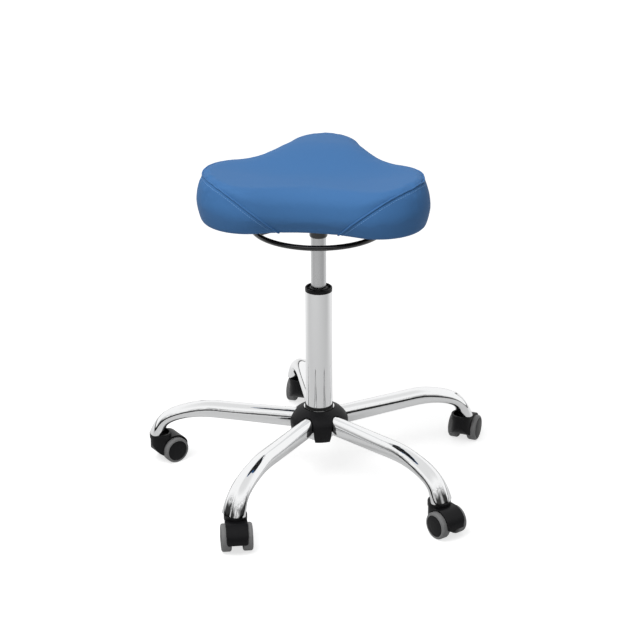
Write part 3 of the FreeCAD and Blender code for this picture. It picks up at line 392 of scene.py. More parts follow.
def make_thread(finishes):
    """Bonded sewing thread."""
    finish = Finish("sewing_thread", finishes.thread, roughness=0.55, drift=0.10,
                    rough_drift=0.05, scale=400.0)
    fibres = noise(finish.tree, object_coordinates(finish.tree), scale=4000.0)
    finish.relief(fibres, 0.05 * MM, strength=0.5)


def make_chrome(finishes):
    """Chrome plate: a mirror with a slow ripple from polishing and faint handling marks."""
    finish = Finish("chrome_tube", finishes.chrome, roughness=0.045, drift=0.015,
                    rough_drift=0.035, scale=30.0)
    ripple = noise(finish.tree, object_coordinates(finish.tree), scale=55.0, detail=1.0)
    finish.relief(ripple, 0.10 * MM, strength=0.35)
    fill(finish.shader, Metallic=1.0)


def make_steel(finishes):
    """Bare steel with turned rings."""
    finish = Finish("plain_steel", finishes.steel, roughness=0.28, drift=0.06,
                    rough_drift=0.08, scale=60.0)
    rings = finish.group("Turned rings")
    finish.relief(rings.outputs["Height"], 0.03 * MM, strength=0.5)
    fill(finish.shader, Metallic=1.0)


def make_cylinder(finishes):
    """Satin grey coat of the gas cylinder."""
    finish = Finish("cylinder_coat", finishes.cylinder, roughness=0.26, drift=0.03,
                    rough_drift=0.06, scale=40.0)
    rings = finish.group("Turned rings", Scale=1800.0)
    finish.relief(rings.outputs["Height"], 0.02 * MM, strength=0.35)
    fill(finish.shader, Metallic=1.0)


def make_black_steel(finishes):
    """Gloss black powder coat with a slight orange peel."""
    finish = Finish("black_steel", finishes.black_steel, roughness=0.16, drift=0.10,
                    rough_drift=0.06, scale=50.0)
    peel = noise(finish.tree, object_coordinates(finish.tree), scale=600.0)
    finish.relief(peel, 0.04 * MM, strength=0.4)
    fill(finish.shader, Coat_Weight=0.5)


def make_plastic(name, base, roughness, texture):
    """Moulded black plastic, with the scale of its texture."""
    finish = Finish(name, base, roughness, drift=0.12, rough_drift=0.07, scale=45.0)
    moulding = finish.group("Moulded texture", Scale=texture)
    finish.relief(moulding.outputs["Height"], 0.03 * MM, strength=0.6)
    fill(finish.shader, Specular_IOR_Level=0.16)


def make_rubber(name, base, roughness):
    """Matt rubber or soft tread with a faint bloom."""
    finish = Finish(name, base, roughness, drift=0.09, rough_drift=0.06, scale=90.0)
    moulding = finish.group("Moulded texture", Scale=900.0)
    finish.relief(moulding.outputs["Height"], 0.05 * MM, strength=0.5)
    fill(finish.shader, Specular_IOR_Level=0.35)


def make_plywood(finishes):
    """Plywood: long grain on the faces and thin plies at the edge."""
    finish = Finish("plywood", finishes.wood, roughness=0.62, drift=0.20,
                    rough_drift=0.08, scale=12.0)
    tree = finish.tree
    stretch = tree.nodes.new("ShaderNodeMapping")
    fill(stretch, Scale=(6.0, 120.0, 900.0))
    tree.links.new(object_coordinates(tree), stretch.inputs["Vector"])
    grain = noise(tree, stretch.outputs["Vector"], scale=1.0, detail=4.0, roughness=0.6)
    darker = tree.nodes.new("ShaderNodeHueSaturation")
    tree.links.new(finish.colour, darker.inputs["Color"])
    tree.links.new(remap(tree, grain, 0.3, 0.7, 0.65, 1.15), darker.inputs["Value"])
    tree.links.new(darker.outputs["Color"], finish.shader.inputs["Base Color"])
    finish.relief(grain, 0.15 * MM, strength=0.6)


def make_lining(finishes):
    """Non-woven lining with its dimpled bond points."""
    finish = Finish("lining_cloth", finishes.lining, roughness=0.85, drift=0.20,
                    rough_drift=0.05, scale=120.0)
    tree = finish.tree
    dots = tree.nodes.new("ShaderNodeTexVoronoi")
    tree.links.new(object_coordinates(tree), dots.inputs["Vector"])
    fill(dots, Scale=650.0, Randomness=0.25)
    dimples = remap(tree, dots.outputs["Distance"], 0.15, 0.4, 0.0, 1.0)
    finish.relief(dimples, 0.15 * MM, strength=0.7)
    fill(finish.shader, Sheen_Weight=0.2)


def make_materials(finishes):
    """Makes every material. Plastic and rubber are given their roughness, plastic its texture."""
    make_leatherette(finishes)
    make_thread(finishes)
    make_chrome(finishes)
    make_steel(finishes)
    make_black_steel(finishes)
    make_cylinder(finishes)
    make_plastic("hub_plastic", finishes.hub, 0.46, texture=1600.0)
    make_plastic("bush_plastic", finishes.hub, 0.38, texture=1400.0)
    make_plastic("gland_plastic", finishes.hub, 0.50, texture=1200.0)
    make_plastic("caster_plastic", finishes.caster, 0.36, texture=1500.0)
    make_rubber("black_rubber", finishes.rubber, 0.62)
    make_rubber("grey_tread", finishes.tread, 0.46)
    make_plywood(finishes)
    make_lining(finishes)


# ---------------- modelling helpers
def nothing_selected():
    """Deselects everything, so that the next operator acts on the new piece alone."""
    if bpy.context.object and bpy.context.object.mode != "OBJECT":
        bpy.ops.object.mode_set(mode="OBJECT")
    bpy.ops.object.select_all(action="DESELECT")


def pick(piece):
    """Selects one piece and makes it active."""
    nothing_selected()
    piece.select_set(True)
    bpy.context.view_layer.objects.active = piece


def from_bmesh(name, form):
    """New object from a bmesh."""
    mesh = bpy.data.meshes.new(name)
    form.to_mesh(mesh)
    form.free()
    piece = bpy.data.objects.new(name, mesh)
    bpy.context.scene.collection.objects.link(piece)
    return piece


def apply_modifier(piece, kind, **settings):
    """Adds a modifier with its settings and applies it."""
    pick(piece)
    bpy.ops.object.modifier_add(type=kind)
    modifier = piece.modifiers[-1]
    for key, value in settings.items():
        setattr(modifier, key, value)
    bpy.ops.object.modifier_apply(modifier=modifier.name)


def dress(piece, material):
    """Gives a piece one material."""
    piece.data.materials.clear()
    piece.data.materials.append(bpy.data.materials[FINISH + material])


def finish_piece(piece, material, body="lift"):
    """Material, slot and body of a new piece."""
    dress(piece, material)
    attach(piece, body)


def coordinates(piece):
    """Vertices of a piece as an array."""
    flat = np.empty(len(piece.data.vertices) * 3)
    piece.data.vertices.foreach_get("co", flat)
    return flat.reshape(-1, 3)


def vertex_normals(piece):
    """Vertex normals of a piece as an array."""
    return np.array([vertex.normal for vertex in piece.data.vertices])


def move_vertices(piece, places):
    """Puts the vertices of a piece at new places."""
    piece.data.vertices.foreach_set("co", places.ravel())
    piece.data.update()


# ---------------- seat form
EDGE_STEPS = 6  # steps round the lower edge and round the upper one
LOWER_EDGE = 5  # points of a section from the pocket to the turn of its lower edge
WALL_STEPS = 16  # steps up the side between those edges
TOP_STEPS = 24  # rings of faces from the upper edge in to the middle
POCKET_PLAY = 0.3 * MM  # between the seat board and its pocket
BLEND = 60 * MM  # way along the outline in which one upper edge becomes another
LEAN_END = 40 * MM  # from the tip of the pommel to where its sides start to lean
LEAN_SHARE = 0.6  # upper part of the side that leans
LEAN_CURVE = 1.3  # how late it leans
SEAT_MIDDLE = Vector((0, -20 * MM, 0))
FREE_HEIGHT = 55 * MM  # way up from the lower edge in which the cover comes free to swell
SWELL_FRAMES = 20  # of simulation


def eased(value):
    """Eases from 0 to 1."""
    value = max(0.0, min(1.0, value))
    return value * value * (3 - 2 * value)


def seat_top(sizes, x, y):
    """Height of the dished top, which climbs to the pommel and to the lobes' rims."""
    side = min(1.0, abs(x) / sizes.half_width)
    lobe = sizes.lobe_rise * side**sizes.lobe_curl * eased(1 - y / sizes.pommel_reach)
    ridge = math.exp(-((abs(x) / sizes.pommel_spread) ** sizes.pommel_fall))
    pommel = sizes.pommel_rise * eased((y - sizes.rise_start) / sizes.rise_run) * ridge
    return SEAT_BOTTOM + sizes.floor_height + lobe + pommel


def plan_arc(sizes, centre, radius, start, turn, outward=1):
    """Points and outward normals along an arc in plan. Its last point is left to the next arc."""
    count = max(2, round(abs(turn) * radius / sizes.rim_step))
    rim = []
    for index in range(count):
        heading = start + turn * index / count
        spoke = Vector((math.cos(heading), math.sin(heading), 0))
        rim.append((centre + spoke * radius, spoke * outward))
    return rim


def heading_to(start, finish):
    """Heading from one point to another, from 0 to a full turn."""
    return math.atan2(finish.y - start.y, finish.x - start.x) % math.tau


def seat_rim(sizes):
    """Points and outward normals round the seat, from the middle of the wide side past +X."""
    lobe = Vector((sizes.half_width - sizes.lobe_radius, sizes.lobe_radius - sizes.lobe_reach, 0))
    pommel = Vector((0, sizes.pommel_reach - sizes.pommel_radius, 0))
    ahead = lobe.y + sizes.front_reach
    hollow = (lobe.x**2 + ahead**2 - sizes.lobe_radius**2) / (2 * (sizes.lobe_radius - ahead))
    front = Vector((0, -sizes.front_reach - hollow, 0))
    span = pommel - lobe
    to_lobe = sizes.lobe_radius + sizes.waist_radius
    to_pommel = sizes.pommel_radius + sizes.waist_radius
    along = (to_lobe**2 - to_pommel**2 + span.length**2) / (2 * span.length)
    aside = math.sqrt(to_lobe**2 - along**2)
    across = Vector((span.y, -span.x, 0)).normalized()
    waist = lobe + span.normalized() * along + across * aside

    to_front = heading_to(lobe, front)
    right = plan_arc(sizes, front, hollow, math.pi / 2, heading_to(front, lobe) - math.pi / 2, -1)
    right += plan_arc(sizes, lobe, sizes.lobe_radius, to_front,
                      (heading_to(lobe, waist) - to_front) % math.tau)
    from_lobe = heading_to(waist, lobe)
    right += plan_arc(sizes, waist, sizes.waist_radius, from_lobe,
                      -((from_lobe - heading_to(waist, pommel)) % math.tau), -1)
    last = heading_to(pommel, waist)
    right += plan_arc(sizes, pommel, sizes.pommel_radius, last, math.pi / 2 - last)
    right.append((pommel + Vector((0, sizes.pommel_radius, 0)), Vector((0, 1, 0))))
    mirror = Vector((-1, 1, 1))
    left = [(point * mirror, normal * mirror) for point, normal in reversed(right[1:-1])]
    return right + left


def pocket_edge(sizes):
    """How far the pocket for the board lies inside the outline."""
    return sizes.half_width - BOARD_BOX[1].x - POCKET_PLAY


def side_lean(sizes, point):
    """Share of the lean at a point of the outline: all of it on a lobe, none at the ends."""
    lean = eased((abs(point.x) - sizes.lean_start) / sizes.lean_run)
    return lean * eased((sizes.pommel_reach - LEAN_END - point.y) / BLEND)


def seat_section(sizes, point, normal):
    """Section of the cushion at one point of the outline: from the edge of the pocket, round the
    lower edge, up the side and over the upper edge."""
    lobe = side_lean(sizes, point)
    front = eased(-point.y / BLEND) * (1 - lobe)
    round_top = sizes.top_round + (sizes.brow_round - sizes.top_round) * front
    round_top += (sizes.crease_round - round_top) * lobe
    lean = sizes.lobe_lean * lobe
    turns = [math.pi / 2 * index / EDGE_STEPS for index in range(EDGE_STEPS + 1)]
    inner = point - normal * (lean + round_top)
    top = seat_top(sizes, inner.x, inner.y)
    steps = [(pocket_edge(sizes), SEAT_BOTTOM)]
    for angle in turns:
        inset = sizes.taper + sizes.bottom_round * (1 - math.sin(angle))
        steps.append((inset, SEAT_BOTTOM + sizes.bottom_round * (1 - math.cos(angle))))
    low, high = SEAT_BOTTOM + sizes.bottom_round, top - round_top
    for index in range(1, WALL_STEPS):
        share = index / WALL_STEPS
        inset = sizes.taper * (1 - share) - sizes.bulge * math.sin(math.pi * share)
        inset += lean * max(0.0, 1 - (1 - share) / LEAN_SHARE) ** LEAN_CURVE
        steps.append((inset, low + (high - low) * share))
    for angle in turns:
        inset = lean + round_top * (1 - math.cos(angle))
        steps.append((inset, high + round_top * math.sin(angle)))
    return [point - normal * inset + UP * height for inset, height in steps]


def join_rings(form, rings):
    """Faces between each ring and the next, all the way round."""
    for lower, upper in zip(rings, rings[1:]):
        for index, vertex in enumerate(lower):
            after = (index + 1) % len(lower)
            form.faces.new((vertex, lower[after], upper[after], upper[index]))


def cushion_form(sizes):
    """Closed mesh of the foam in its cover, with the pocket for the board underneath."""
    sections = [seat_section(sizes, point, normal) for point, normal in seat_rim(sizes)]
    ceiling = BOARD_BOX[1].z + POCKET_PLAY
    form = bmesh.new()
    rings = [[form.verts.new((section[0].x, section[0].y, ceiling)) for section in sections]]
    rings += [[form.verts.new(place) for place in ring] for ring in zip(*sections)]
    middle = SEAT_MIDDLE
    edge = [vertex.co.copy() for vertex in rings[-1]]
    for index in range(1, TOP_STEPS):
        ring = []
        for place in edge:
            inner = middle + (place - middle) * (1 - index / TOP_STEPS)
            ring.append(form.verts.new((inner.x, inner.y, seat_top(sizes, inner.x, inner.y))))
        rings.append(ring)
    join_rings(form, rings)
    crown = form.verts.new((middle.x, middle.y, seat_top(sizes, middle.x, middle.y)))
    roof = form.verts.new((middle.x, middle.y, ceiling))
    for hub, ring, turned in ((crown, rings[-1], False), (roof, rings[0], True)):
        for index, vertex in enumerate(ring):
            after = ring[(index + 1) % len(ring)]
            form.faces.new((after, vertex, hub) if turned else (vertex, after, hub))
    return form


def swell(cushion, sizes):
    """Fills the cover by cloth simulation, from slightly inside its form.

    The lower edge is held, and the side comes free little by little above it."""
    nominal = coordinates(cushion)
    held = cushion.vertex_groups.new(name="held")
    base = SEAT_BOTTOM + sizes.bottom_round
    low = [index for index, place in enumerate(nominal) if place[2] < base]
    held.add(low, 1.0, "REPLACE")
    free = np.array([[eased((place[2] - base) / FREE_HEIGHT)] for place in nominal])
    start = nominal - vertex_normals(cushion) * sizes.swell_room * free
    move_vertices(cushion, start)

    pick(cushion)
    bpy.ops.object.modifier_add(type="CLOTH")
    cloth = cushion.modifiers[-1]
    cloth.settings.quality = 6
    cloth.settings.use_pressure = True
    cloth.settings.uniform_pressure_force = sizes.pressure
    cloth.settings.effector_weights.gravity = 0
    cloth.settings.vertex_group_mass = held.name
    for frame_number in range(1, SWELL_FRAMES + 1):
        bpy.context.scene.frame_set(frame_number)
    bpy.ops.object.modifier_apply(modifier=cloth.name)
    bpy.context.scene.frame_set(1)

    moved = coordinates(cushion) - start
    reach = np.linalg.norm(moved, axis=1, keepdims=True)
    moved *= np.minimum(1, sizes.swell_limit / np.maximum(reach, 1e-9))
    move_vertices(cushion, start + moved * free)
    cushion.vertex_groups.clear()


def seam_plane(sizes, place):
    """How far a place lies above the plane in which a seam climbs outwards over the apron."""
    climb = sizes.seam_climb * (abs(place.x) - sizes.seam_foot)
    lean = sizes.seam_lean * (place.y + sizes.front_reach)
    return place.z - SEAT_BOTTOM - climb + lean


def seam_line(sizes):
    """Line of the seam, from one foot round the back to the other.

    It starts under the seat, climbs outwards over the wide side in one plane until it meets the
    upper edge, and follows that edge round the lobes and the pommel."""
    line = []
    for point, normal in seat_rim(sizes):
        if point.y < 0 and abs(point.x) < sizes.seam_foot:
            continue
        section = seat_section(sizes, point, normal)
        upper_edge = len(section) - EDGE_STEPS - 1
        edge = upper_edge + EDGE_STEPS / 2 * side_lean(sizes, point)
        last = int(edge)
        place = section[last].lerp(section[last + 1], edge - last)
        wall = [*section[: last + 1], place]
        if point.y < sizes.lobe_radius - sizes.lobe_reach:
            place = crossing(sizes, wall)
        if not line:
            foot = wall[:LOWER_EDGE]
        line.append(place)
    foot[0] = foot[0].lerp(foot[1], 0.6)
    mirror = Vector((-1, 1, 1))
    return foot + line + [place * mirror for place in reversed(foot)]


def crossing(sizes, wall):
    """Where a section of the wall passes up through a seam's plane, or its end nearest to it."""
    above = [seam_plane(sizes, place) for place in wall]
    start = min(range(LOWER_EDGE + 3), key=above.__getitem__)
    if above[start] > 0:
        return wall[start]
    for index in range(start, len(wall) - 1):
        if above[index + 1] > 0:
            share = above[index] / (above[index] - above[index + 1])
            return wall[index].lerp(wall[index + 1], share)
    return wall[-1]


def surface_of(piece):
    """Search tree of a piece's surface."""
    form = bmesh.new()
    form.from_mesh(piece.data)
    tree = BVHTree.FromBMesh(form)
    form.free()
    return tree


def laid_on(surface, line, passes=3):
    """Places and normals of a line that is smoothed along its length and laid on a surface."""
    for _ in range(passes):
        middle = [(before + here * 2 + after) / 4
                  for before, here, after in zip(line, line[1:], line[2:])]
        line = [line[0], *middle, line[-1]]
    return [surface.find_nearest(place)[:2] for place in line]


def carve_seam(cushion, path, sizes):
    """Draws the foam in along the seam."""
    parts = 4
    finder = KDTree(len(path) * parts)
    for index, ((first, _), (second, _)) in enumerate(zip(path, path[1:])):
        for part in range(parts):
            finder.insert(first.lerp(second, part / parts), index * parts + part)
    finder.balance()
    places, normals = coordinates(cushion), vertex_normals(cushion)
    for index, place in enumerate(places):
        _, _, reach = finder.find(place)
        if reach < sizes.groove_width * 3:
            depth = sizes.groove_depth * math.exp(-((reach / sizes.groove_width) ** 2))
            places[index] -= normals[index] * depth
    move_vertices(cushion, places)


def thread_path(name, places, radius):
    """Round cord along a path, made as a curve and turned into a mesh."""
    nothing_selected()
    bpy.ops.curve.primitive_nurbs_path_add(radius=0.1)
    cord = bpy.context.object
    cord.name = name
    curve = cord.data
    curve.splines.clear()
    spline = curve.splines.new("NURBS")
    spline.points.add(len(places) - 1)
    for point, place in zip(spline.points, places):
        point.co = (*place, 1)
    spline.order_u = 4
    spline.use_endpoint_u = True
    curve.dimensions = "3D"
    curve.resolution_u = 2
    curve.bevel_depth = radius
    curve.bevel_resolution = 3
    curve.use_fill_caps = True
    pick(cord)
    bpy.ops.object.convert(target="MESH")
    cord = bpy.context.object
    bpy.ops.object.shade_smooth()
    return cord


STITCH_END = 0.15  # share of a stitch in each of its drawn-in ends
STITCH_TAPER = 0.45  # thickness left at an end
STITCH_DIP = 0.6  # how far an end dips into the cover, in radii


def stitch_master(sizes):
    """One stitch along +X: a slim rod with drawn-in ends."""
    nothing_selected()
    bpy.ops.mesh.primitive_cylinder_add(
        vertices=6, radius=sizes.stitch_radius, rotation=(0, math.pi / 2, 0),
        depth=sizes.stitch_length * (1 - 2 * STITCH_END),
    )
    stitch = bpy.context.object
    bpy.ops.object.transform_apply(location=False, rotation=True, scale=False)
    for side in (-1, 1):
        bpy.ops.object.mode_set(mode="EDIT")
        form = bmesh.from_edit_mesh(stitch.data)
        for face in form.faces:
            face.select_set(face.normal.x * side > 0.9)
        bmesh.update_edit_mesh(stitch.data)
        bpy.ops.mesh.extrude_region_move(
            TRANSFORM_OT_translate={"value": (side * sizes.stitch_length * STITCH_END, 0, 0)}
        )
        bpy.ops.transform.resize(value=(1, STITCH_TAPER, STITCH_TAPER))
        bpy.ops.transform.translate(value=(0, 0, -sizes.stitch_radius * STITCH_DIP))
        bpy.ops.object.mode_set(mode="OBJECT")
    return stitch


def repeat_along(name, master, places):
    """One mesh of copies of a master, each turned and moved by its matrix."""
    form = bmesh.new()
    for matrix in places:
        copy = master.data.copy()
        copy.transform(matrix)
        form.from_mesh(copy)
        bpy.data.meshes.remove(copy)
    bpy.data.objects.remove(master)
    return from_bmesh(name, form)


def frames_along(path, pitch):
    """Matrices along a path at a pitch: X along it, Z off the surface."""
    frames, due = [], 0.0
    for (first, facing), (second, _) in zip(path, path[1:]):
        step = (second - first).length
        while due < step:
            along = (second - first).normalized()
            off = (facing - along * facing.dot(along)).normalized()
            side = off.cross(along)
            turn = Matrix((along, side, off)).transposed().to_4x4()
            frames.append(Matrix.Translation(first.lerp(second, due / step)) @ turn)
            due += pitch
        due -= step
    return frames


LINING_GAP = 0.1 * MM  # between the seat board and the lining's upper face
PLATE_PLAY = 0.4 * MM  # between the seat plate and the lining's hole
LINING_STEPS = 10  # rings of faces from its edge in to that hole
PLEAT_DEPTH = 0.25  # share of the sag that comes and goes at the edge
PLEAT_PITCH = 0.9  # angle of a pleat's wave from one point of the outline to the next
SAG_CURVE = 0.7  # how soon the sag starts inside the edge
STAPLE_WIRE = 0.5 * MM  # half its width and its whole thickness
STAPLE_INSET = 5 * MM  # from the lining's edge in to the staples
STAPLE_DROP = 0.9 * MM  # from the lining's upper face down to the staples


def lining_form(sizes, rim, top):
    """Open mesh of the lining, from its edge in to the seat plate, with shallow pleats."""
    half = PLATE_BOX[1].x + PLATE_PLAY
    form, rings = bmesh.new(), []
    for index in range(LINING_STEPS + 1):
        share = index / LINING_STEPS
        ring = []
        for count, (point, normal) in enumerate(rim):
            outer = point - normal * sizes.lining_inset
            reach = half / max(abs(outer.x), abs(outer.y))
            inner = Vector((outer.x, outer.y, 0)) * reach
            place = outer.lerp(inner, share)
            pleat = PLEAT_DEPTH * math.sin(count * PLEAT_PITCH) * (1 - share)
            sag = sizes.lining_sag * math.sin(math.pi * share) ** SAG_CURVE * (1 + pleat)
            ring.append(form.verts.new((place.x, place.y, top - sag)))
        rings.append(ring)
    join_rings(form, rings[::-1])
    return form


# ---------------- studio
SENSOR_WIDTH = 36  # millimetres
LAMP_AIM = Vector((0, 0, 0.35))  # about the middle of the stool
FLOOR_GREY = (0.58, 0.58, 0.58)
FLOOR_FADE = (1.0, 5.0)  # metres from the column, between which its glow grows to white

# Bands of the studio's light by one axis of a place or a direction: where each band starts and
# ends, and its value there. -Y is the camera's side.
FLOOR_MIRRORED = (-0.30, 0.70, 0.10, 0.50)  # Y: glow of the floor in polished metal
OVERHEAD = (0.20, 0.90, 0.15, 1.35)  # Z: soft light, most of it from above
HORIZON_RISE = (-0.60, 0.10, 0.08, 0.0)  # Y: how much higher the horizon stands in front
HORIZON = (0.02, 0.09, 0.04, 1.05)  # Z above that: from dark to the pale screens
ZENITH = (0.70, 0.95, 1.0, 0.80)  # Z: the screens dim overhead
CAMERA_SIDE = (-0.30, 0.10, 1.0, 0.0)  # Y: where walls and streaks stand
WALL_SIDES = (0.15, 0.40, 0.20, 0.96)  # X either way: paler middle and dark walls
WALL_TOP = (0.26, 0.45, 1.0, 0.0)  # Z: upper edge of the walls
STREAK_TOP = (0.30, 0.70, 1.0, 0.0)  # Z: upper ends of the streaks
STREAKS = (0.45, 0.55, 0.0, 0.75)  # noise: from no streak to a dark one
STREAK_SCALE = (4, 4, 0.4)  # narrow and upright


def seen_and_mirrored(tree):
    """Masks for what is seen straight or through glass, and for what polished metal mirrors."""
    path = tree.nodes.new("ShaderNodeLightPath")
    seen = math_node(tree, "MAXIMUM", path.outputs["Is Camera Ray"],
                     path.outputs["Is Transmission Ray"])
    return seen, path.outputs["Is Glossy Ray"]


def mirrored_screens(tree, direction, axes):
    """Strength of the world in polished metal: pale screens over a dark horizon, with low dark
    walls and upright dark streaks on the camera's side."""
    height = axes.outputs["Z"]
    above = math_node(tree, "SUBTRACT", height, remap(tree, axes.outputs["Y"], *HORIZON_RISE))
    horizon = remap(tree, above, *HORIZON)
    camera_side = remap(tree, axes.outputs["Y"], *CAMERA_SIDE)
    sides = remap(tree, math_node(tree, "ABSOLUTE", axes.outputs["X"]), *WALL_SIDES)
    sides = times(tree, sides, remap(tree, height, *WALL_TOP))
    walls = times(tree, camera_side, sides)
    stretch = tree.nodes.new("ShaderNodeMapping")
    fill(stretch, Scale=STREAK_SCALE)
    tree.links.new(direction, stretch.inputs["Vector"])
    streaks = remap(tree, noise(tree, stretch.outputs[0], scale=5.0, detail=0.0), *STREAKS)
    low = times(tree, camera_side, remap(tree, height, *STREAK_TOP))
    dark = math_node(tree, "MAXIMUM", walls, times(tree, low, streaks))
    pale = times(tree, horizon, remap(tree, height, *ZENITH))
    return times(tree, pale, math_node(tree, "SUBTRACT", 1.0, dark))


# ---------------- operators
class STOOL_OT_finishes(bpy.types.Operator):
    """Give every piece of the frame its finish"""

    bl_idname = "stool.finishes"
    bl_label = "Finish the frame"

    def execute(self, context):
        build_groups()
        make_materials(context.scene.stool_finishes)
        for part in frame["record"]["subparts"]:
            piece = frame["nodes"][part["node"]]
            dress(piece, part["material_slot"])
        return {"FINISHED"}


class STOOL_OT_cushion(bpy.types.Operator):
    """Make the padded seat, its seam and its stitches"""

    bl_idname = "stool.cushion"
    bl_label = "Upholster the seat"

    def execute(self, context):
        sizes = context.scene.stool_seat
        cushion = from_bmesh("upholstered_cushion", cushion_form(sizes))
        apply_modifier(cushion, "REMESH", mode="VOXEL", voxel_size=sizes.voxel)
        apply_modifier(cushion, "SMOOTH", factor=0.5, iterations=4)
        swell(cushion, sizes)
        apply_modifier(cushion, "SUBSURF", levels=1, render_levels=1)
        apply_modifier(cushion, "SMOOTH", factor=0.5, iterations=2)
        seam = laid_on(surface_of(cushion), seam_line(sizes), passes=12)
        carve_seam(cushion, seam, sizes)
        pick(cushion)
        bpy.ops.object.shade_smooth()
        finish_piece(cushion, "blue_leatherette")
        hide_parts("seat_cushion")

        surface = surface_of(cushion)
        welt = thread_path("seat_welt", [place for place, _ in seam], sizes.welt_radius)
        finish_piece(welt, "blue_leatherette")

        row = []
        for (before, _), (here, facing), (after, _) in zip(seam, seam[1:], seam[2:]):
            down = (after - before).normalized().cross(facing)
            row.append(here + down * sizes.stitch_offset)
        row = laid_on(surface, row)
        stitches = repeat_along("seat_topstitching", stitch_master(sizes),
                                frames_along(row, sizes.stitch_pitch))
        pick(stitches)
        bpy.ops.object.shade_smooth()
        finish_piece(stitches, "sewing_thread")
        return {"FINISHED"}


class STOOL_OT_lining(bpy.types.Operator):
    """Make the lining stapled under the seat"""

    bl_idname = "stool.lining"
    bl_label = "Line the underside"

    def execute(self, context):
        sizes = context.scene.stool_seat
        top = LINING_BOX[1].z - LINING_GAP
        rim = seat_rim(sizes)
        form = lining_form(sizes, rim, top)
        area = sum(face.calc_area() for face in form.faces)
        lining = from_bmesh("underside_lining", form)
        apply_modifier(lining, "SOLIDIFY", thickness=0.5 * MM, offset=0)
        pick(lining)
        bpy.ops.object.shade_smooth()
        finish_piece(lining, "lining_cloth")
        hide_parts("underside_cover")
        self.staple(sizes, rim, top)
        return {"FINISHED"}

    def staple(self, sizes, rim, top):
        """Row of staples round the lining's edge."""
        nothing_selected()
        section = (2 * STAPLE_WIRE, STAPLE_WIRE)
        bpy.ops.mesh.primitive_cube_add(size=1, scale=(sizes.staple_crown, *section))
        master = bpy.context.object
        bpy.ops.object.transform_apply(location=False, rotation=False, scale=True)
        apply_modifier(master, "BEVEL", width=0.2 * MM, segments=2)
        path = []
        for point, normal in rim:
            place = point - normal * (sizes.lining_inset + STAPLE_INSET)
            path.append((Vector((place.x, place.y, top - STAPLE_DROP)), -UP))
        staples = repeat_along("lining_staples", master, frames_along(path, sizes.staple_pitch))
        finish_piece(staples, "plain_steel")


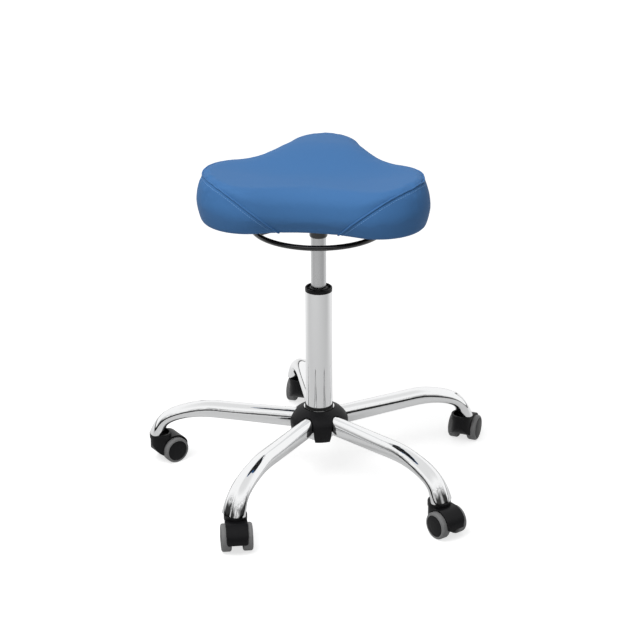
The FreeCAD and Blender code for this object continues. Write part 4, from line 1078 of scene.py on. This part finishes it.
class STOOL_OT_stage(bpy.types.Operator):
    """Set up the floor, the lamps and the camera"""

    bl_idname = "stool.stage"
    bl_label = "Set up the studio"

    def execute(self, context):
        studio = context.scene.stool_studio
        context.scene.view_settings.view_transform = "Standard"
        self.floor(studio)
        self.world(context.scene, studio)
        self.lamp("key_lamp", (-0.75, -1.3, 2.7), size=1.8, power=studio.key_power)
        self.lamp("fill_lamp", (1.6, -2.6, 1.5), size=1.4, power=studio.fill_power)
        self.camera(context.scene, studio)
        return {"FINISHED"}

    def floor(self, studio):
        """Floor that is white to the eye, grey in polished metal, and keeps the stool's shadow."""
        nothing_selected()
        bpy.ops.mesh.primitive_plane_add(size=2 * studio.floor_reach)
        floor = bpy.context.object
        floor.name = "studio_floor"
        material = bpy.data.materials.new("studio_floor")
        material.use_nodes = True
        tree = material.node_tree
        shader = tree.nodes["Principled BSDF"]
        fill(shader, Base_Color=(*FLOOR_GREY, 1), Roughness=0.9, Specular_IOR_Level=0.0,
             Emission_Color=(1, 1, 1, 1))
        place = object_coordinates(tree)
        axes = tree.nodes.new("ShaderNodeSeparateXYZ")
        tree.links.new(place, axes.inputs[0])
        away = tree.nodes.new("ShaderNodeVectorMath")
        away.operation = "LENGTH"
        tree.links.new(place, away.inputs[0])
        seen, mirrored = seen_and_mirrored(tree)
        white = remap(tree, away.outputs["Value"], *FLOOR_FADE, studio.floor_glow, 1.0)
        white = times(tree, seen, white)
        grey = remap(tree, axes.outputs["Y"], *FLOOR_MIRRORED)
        grey = times(tree, mirrored, grey)
        glow = math_node(tree, "ADD", white, grey)
        tree.links.new(glow, shader.inputs["Emission Strength"])
        floor.data.materials.append(material)

    def world(self, scene, studio):
        """Soft light from all round; polished metal sees pale screens over a dark horizon."""
        world = bpy.data.worlds.new("studio_world")
        world.use_nodes = True
        scene.world = world
        tree = world.node_tree
        tree.nodes.clear()
        output = tree.nodes.new("ShaderNodeOutputWorld")
        background = tree.nodes.new("ShaderNodeBackground")
        fill(background, Color=(1, 1, 1, 1))
        tree.links.new(background.outputs[0], output.inputs["Surface"])
        direction = tree.nodes.new("ShaderNodeTexCoord").outputs["Generated"]
        axes = tree.nodes.new("ShaderNodeSeparateXYZ")
        tree.links.new(direction, axes.inputs[0])
        seen, mirrored = seen_and_mirrored(tree)
        screens = mirrored_screens(tree, direction, axes)
        light = times(tree, mirrored, screens)
        light = math_node(tree, "ADD", light, seen)
        rest = math_node(tree, "SUBTRACT", 1.0, math_node(tree, "ADD", mirrored, seen))
        rest = math_node(tree, "MAXIMUM", rest, 0.0)
        overhead = remap(tree, axes.outputs["Z"], *OVERHEAD)
        ambient = times(tree, overhead, studio.ambient)
        ambient = times(tree, rest, ambient)
        tree.links.new(math_node(tree, "ADD", light, ambient), background.inputs["Strength"])

    def lamp(self, name, place, size, power):
        """Square soft lamp aimed at the middle of the stool."""
        nothing_selected()
        aim = LAMP_AIM - Vector(place)
        bpy.ops.object.light_add(type="AREA", location=place,
                                 rotation=aim.to_track_quat("-Z", "Y").to_euler())
        lamp = bpy.context.object
        lamp.name = name
        lamp.data.size = size
        lamp.data.energy = power
        lamp.visible_glossy = False

    def camera(self, scene, studio):
        """Camera in front of the stool, a little above the seat."""
        nothing_selected()
        aim = (Matrix.Rotation(studio.camera_turn, 3, "Z")
               @ Matrix.Rotation(studio.camera_tilt, 3, "X")
               @ Matrix.Rotation(studio.camera_roll, 3, "Z"))
        bpy.ops.object.camera_add(location=studio.camera_place, rotation=aim.to_euler())
        camera = bpy.context.object
        camera.name = "studio_camera"
        camera.data.lens = studio.lens
        camera.data.sensor_width = SENSOR_WIDTH
        scene.camera = camera


class STOOL_PT_panel(bpy.types.Panel):
    """Lists the stool's operators"""

    bl_label = "Swivel stool"
    bl_idname = "STOOL_PT_panel"
    bl_space_type = "VIEW_3D"
    bl_region_type = "UI"
    bl_category = "Stool"

    def draw(self, context):
        for step in STEPS:
            self.layout.operator(step.bl_idname)


STEPS = (STOOL_OT_finishes, STOOL_OT_cushion, STOOL_OT_lining, STOOL_OT_stage)
SETTINGS = {
    "stool_seat": StoolSeatSizes,
    "stool_finishes": StoolFinishes,
    "stool_studio": StoolStudio,
}
CLASSES = (*SETTINGS.values(), *STEPS, STOOL_PT_panel)


def register():
    """Adds the classes and the settings."""
    for item in CLASSES:
        bpy.utils.register_class(item)
    for name, settings in SETTINGS.items():
        setattr(bpy.types.Scene, name, bpy.props.PointerProperty(type=settings))


def unregister():
    """Takes the settings and the classes out again."""
    for name in SETTINGS:
        delattr(bpy.types.Scene, name)
    for item in reversed(CLASSES):
        bpy.utils.unregister_class(item)


def main():
    """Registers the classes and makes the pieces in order."""
    register()
    bpy.ops.stool.finishes()
    bpy.ops.stool.cushion()
    bpy.ops.stool.lining()
    bpy.ops.stool.stage()


if __name__ == "__main__":
    main()
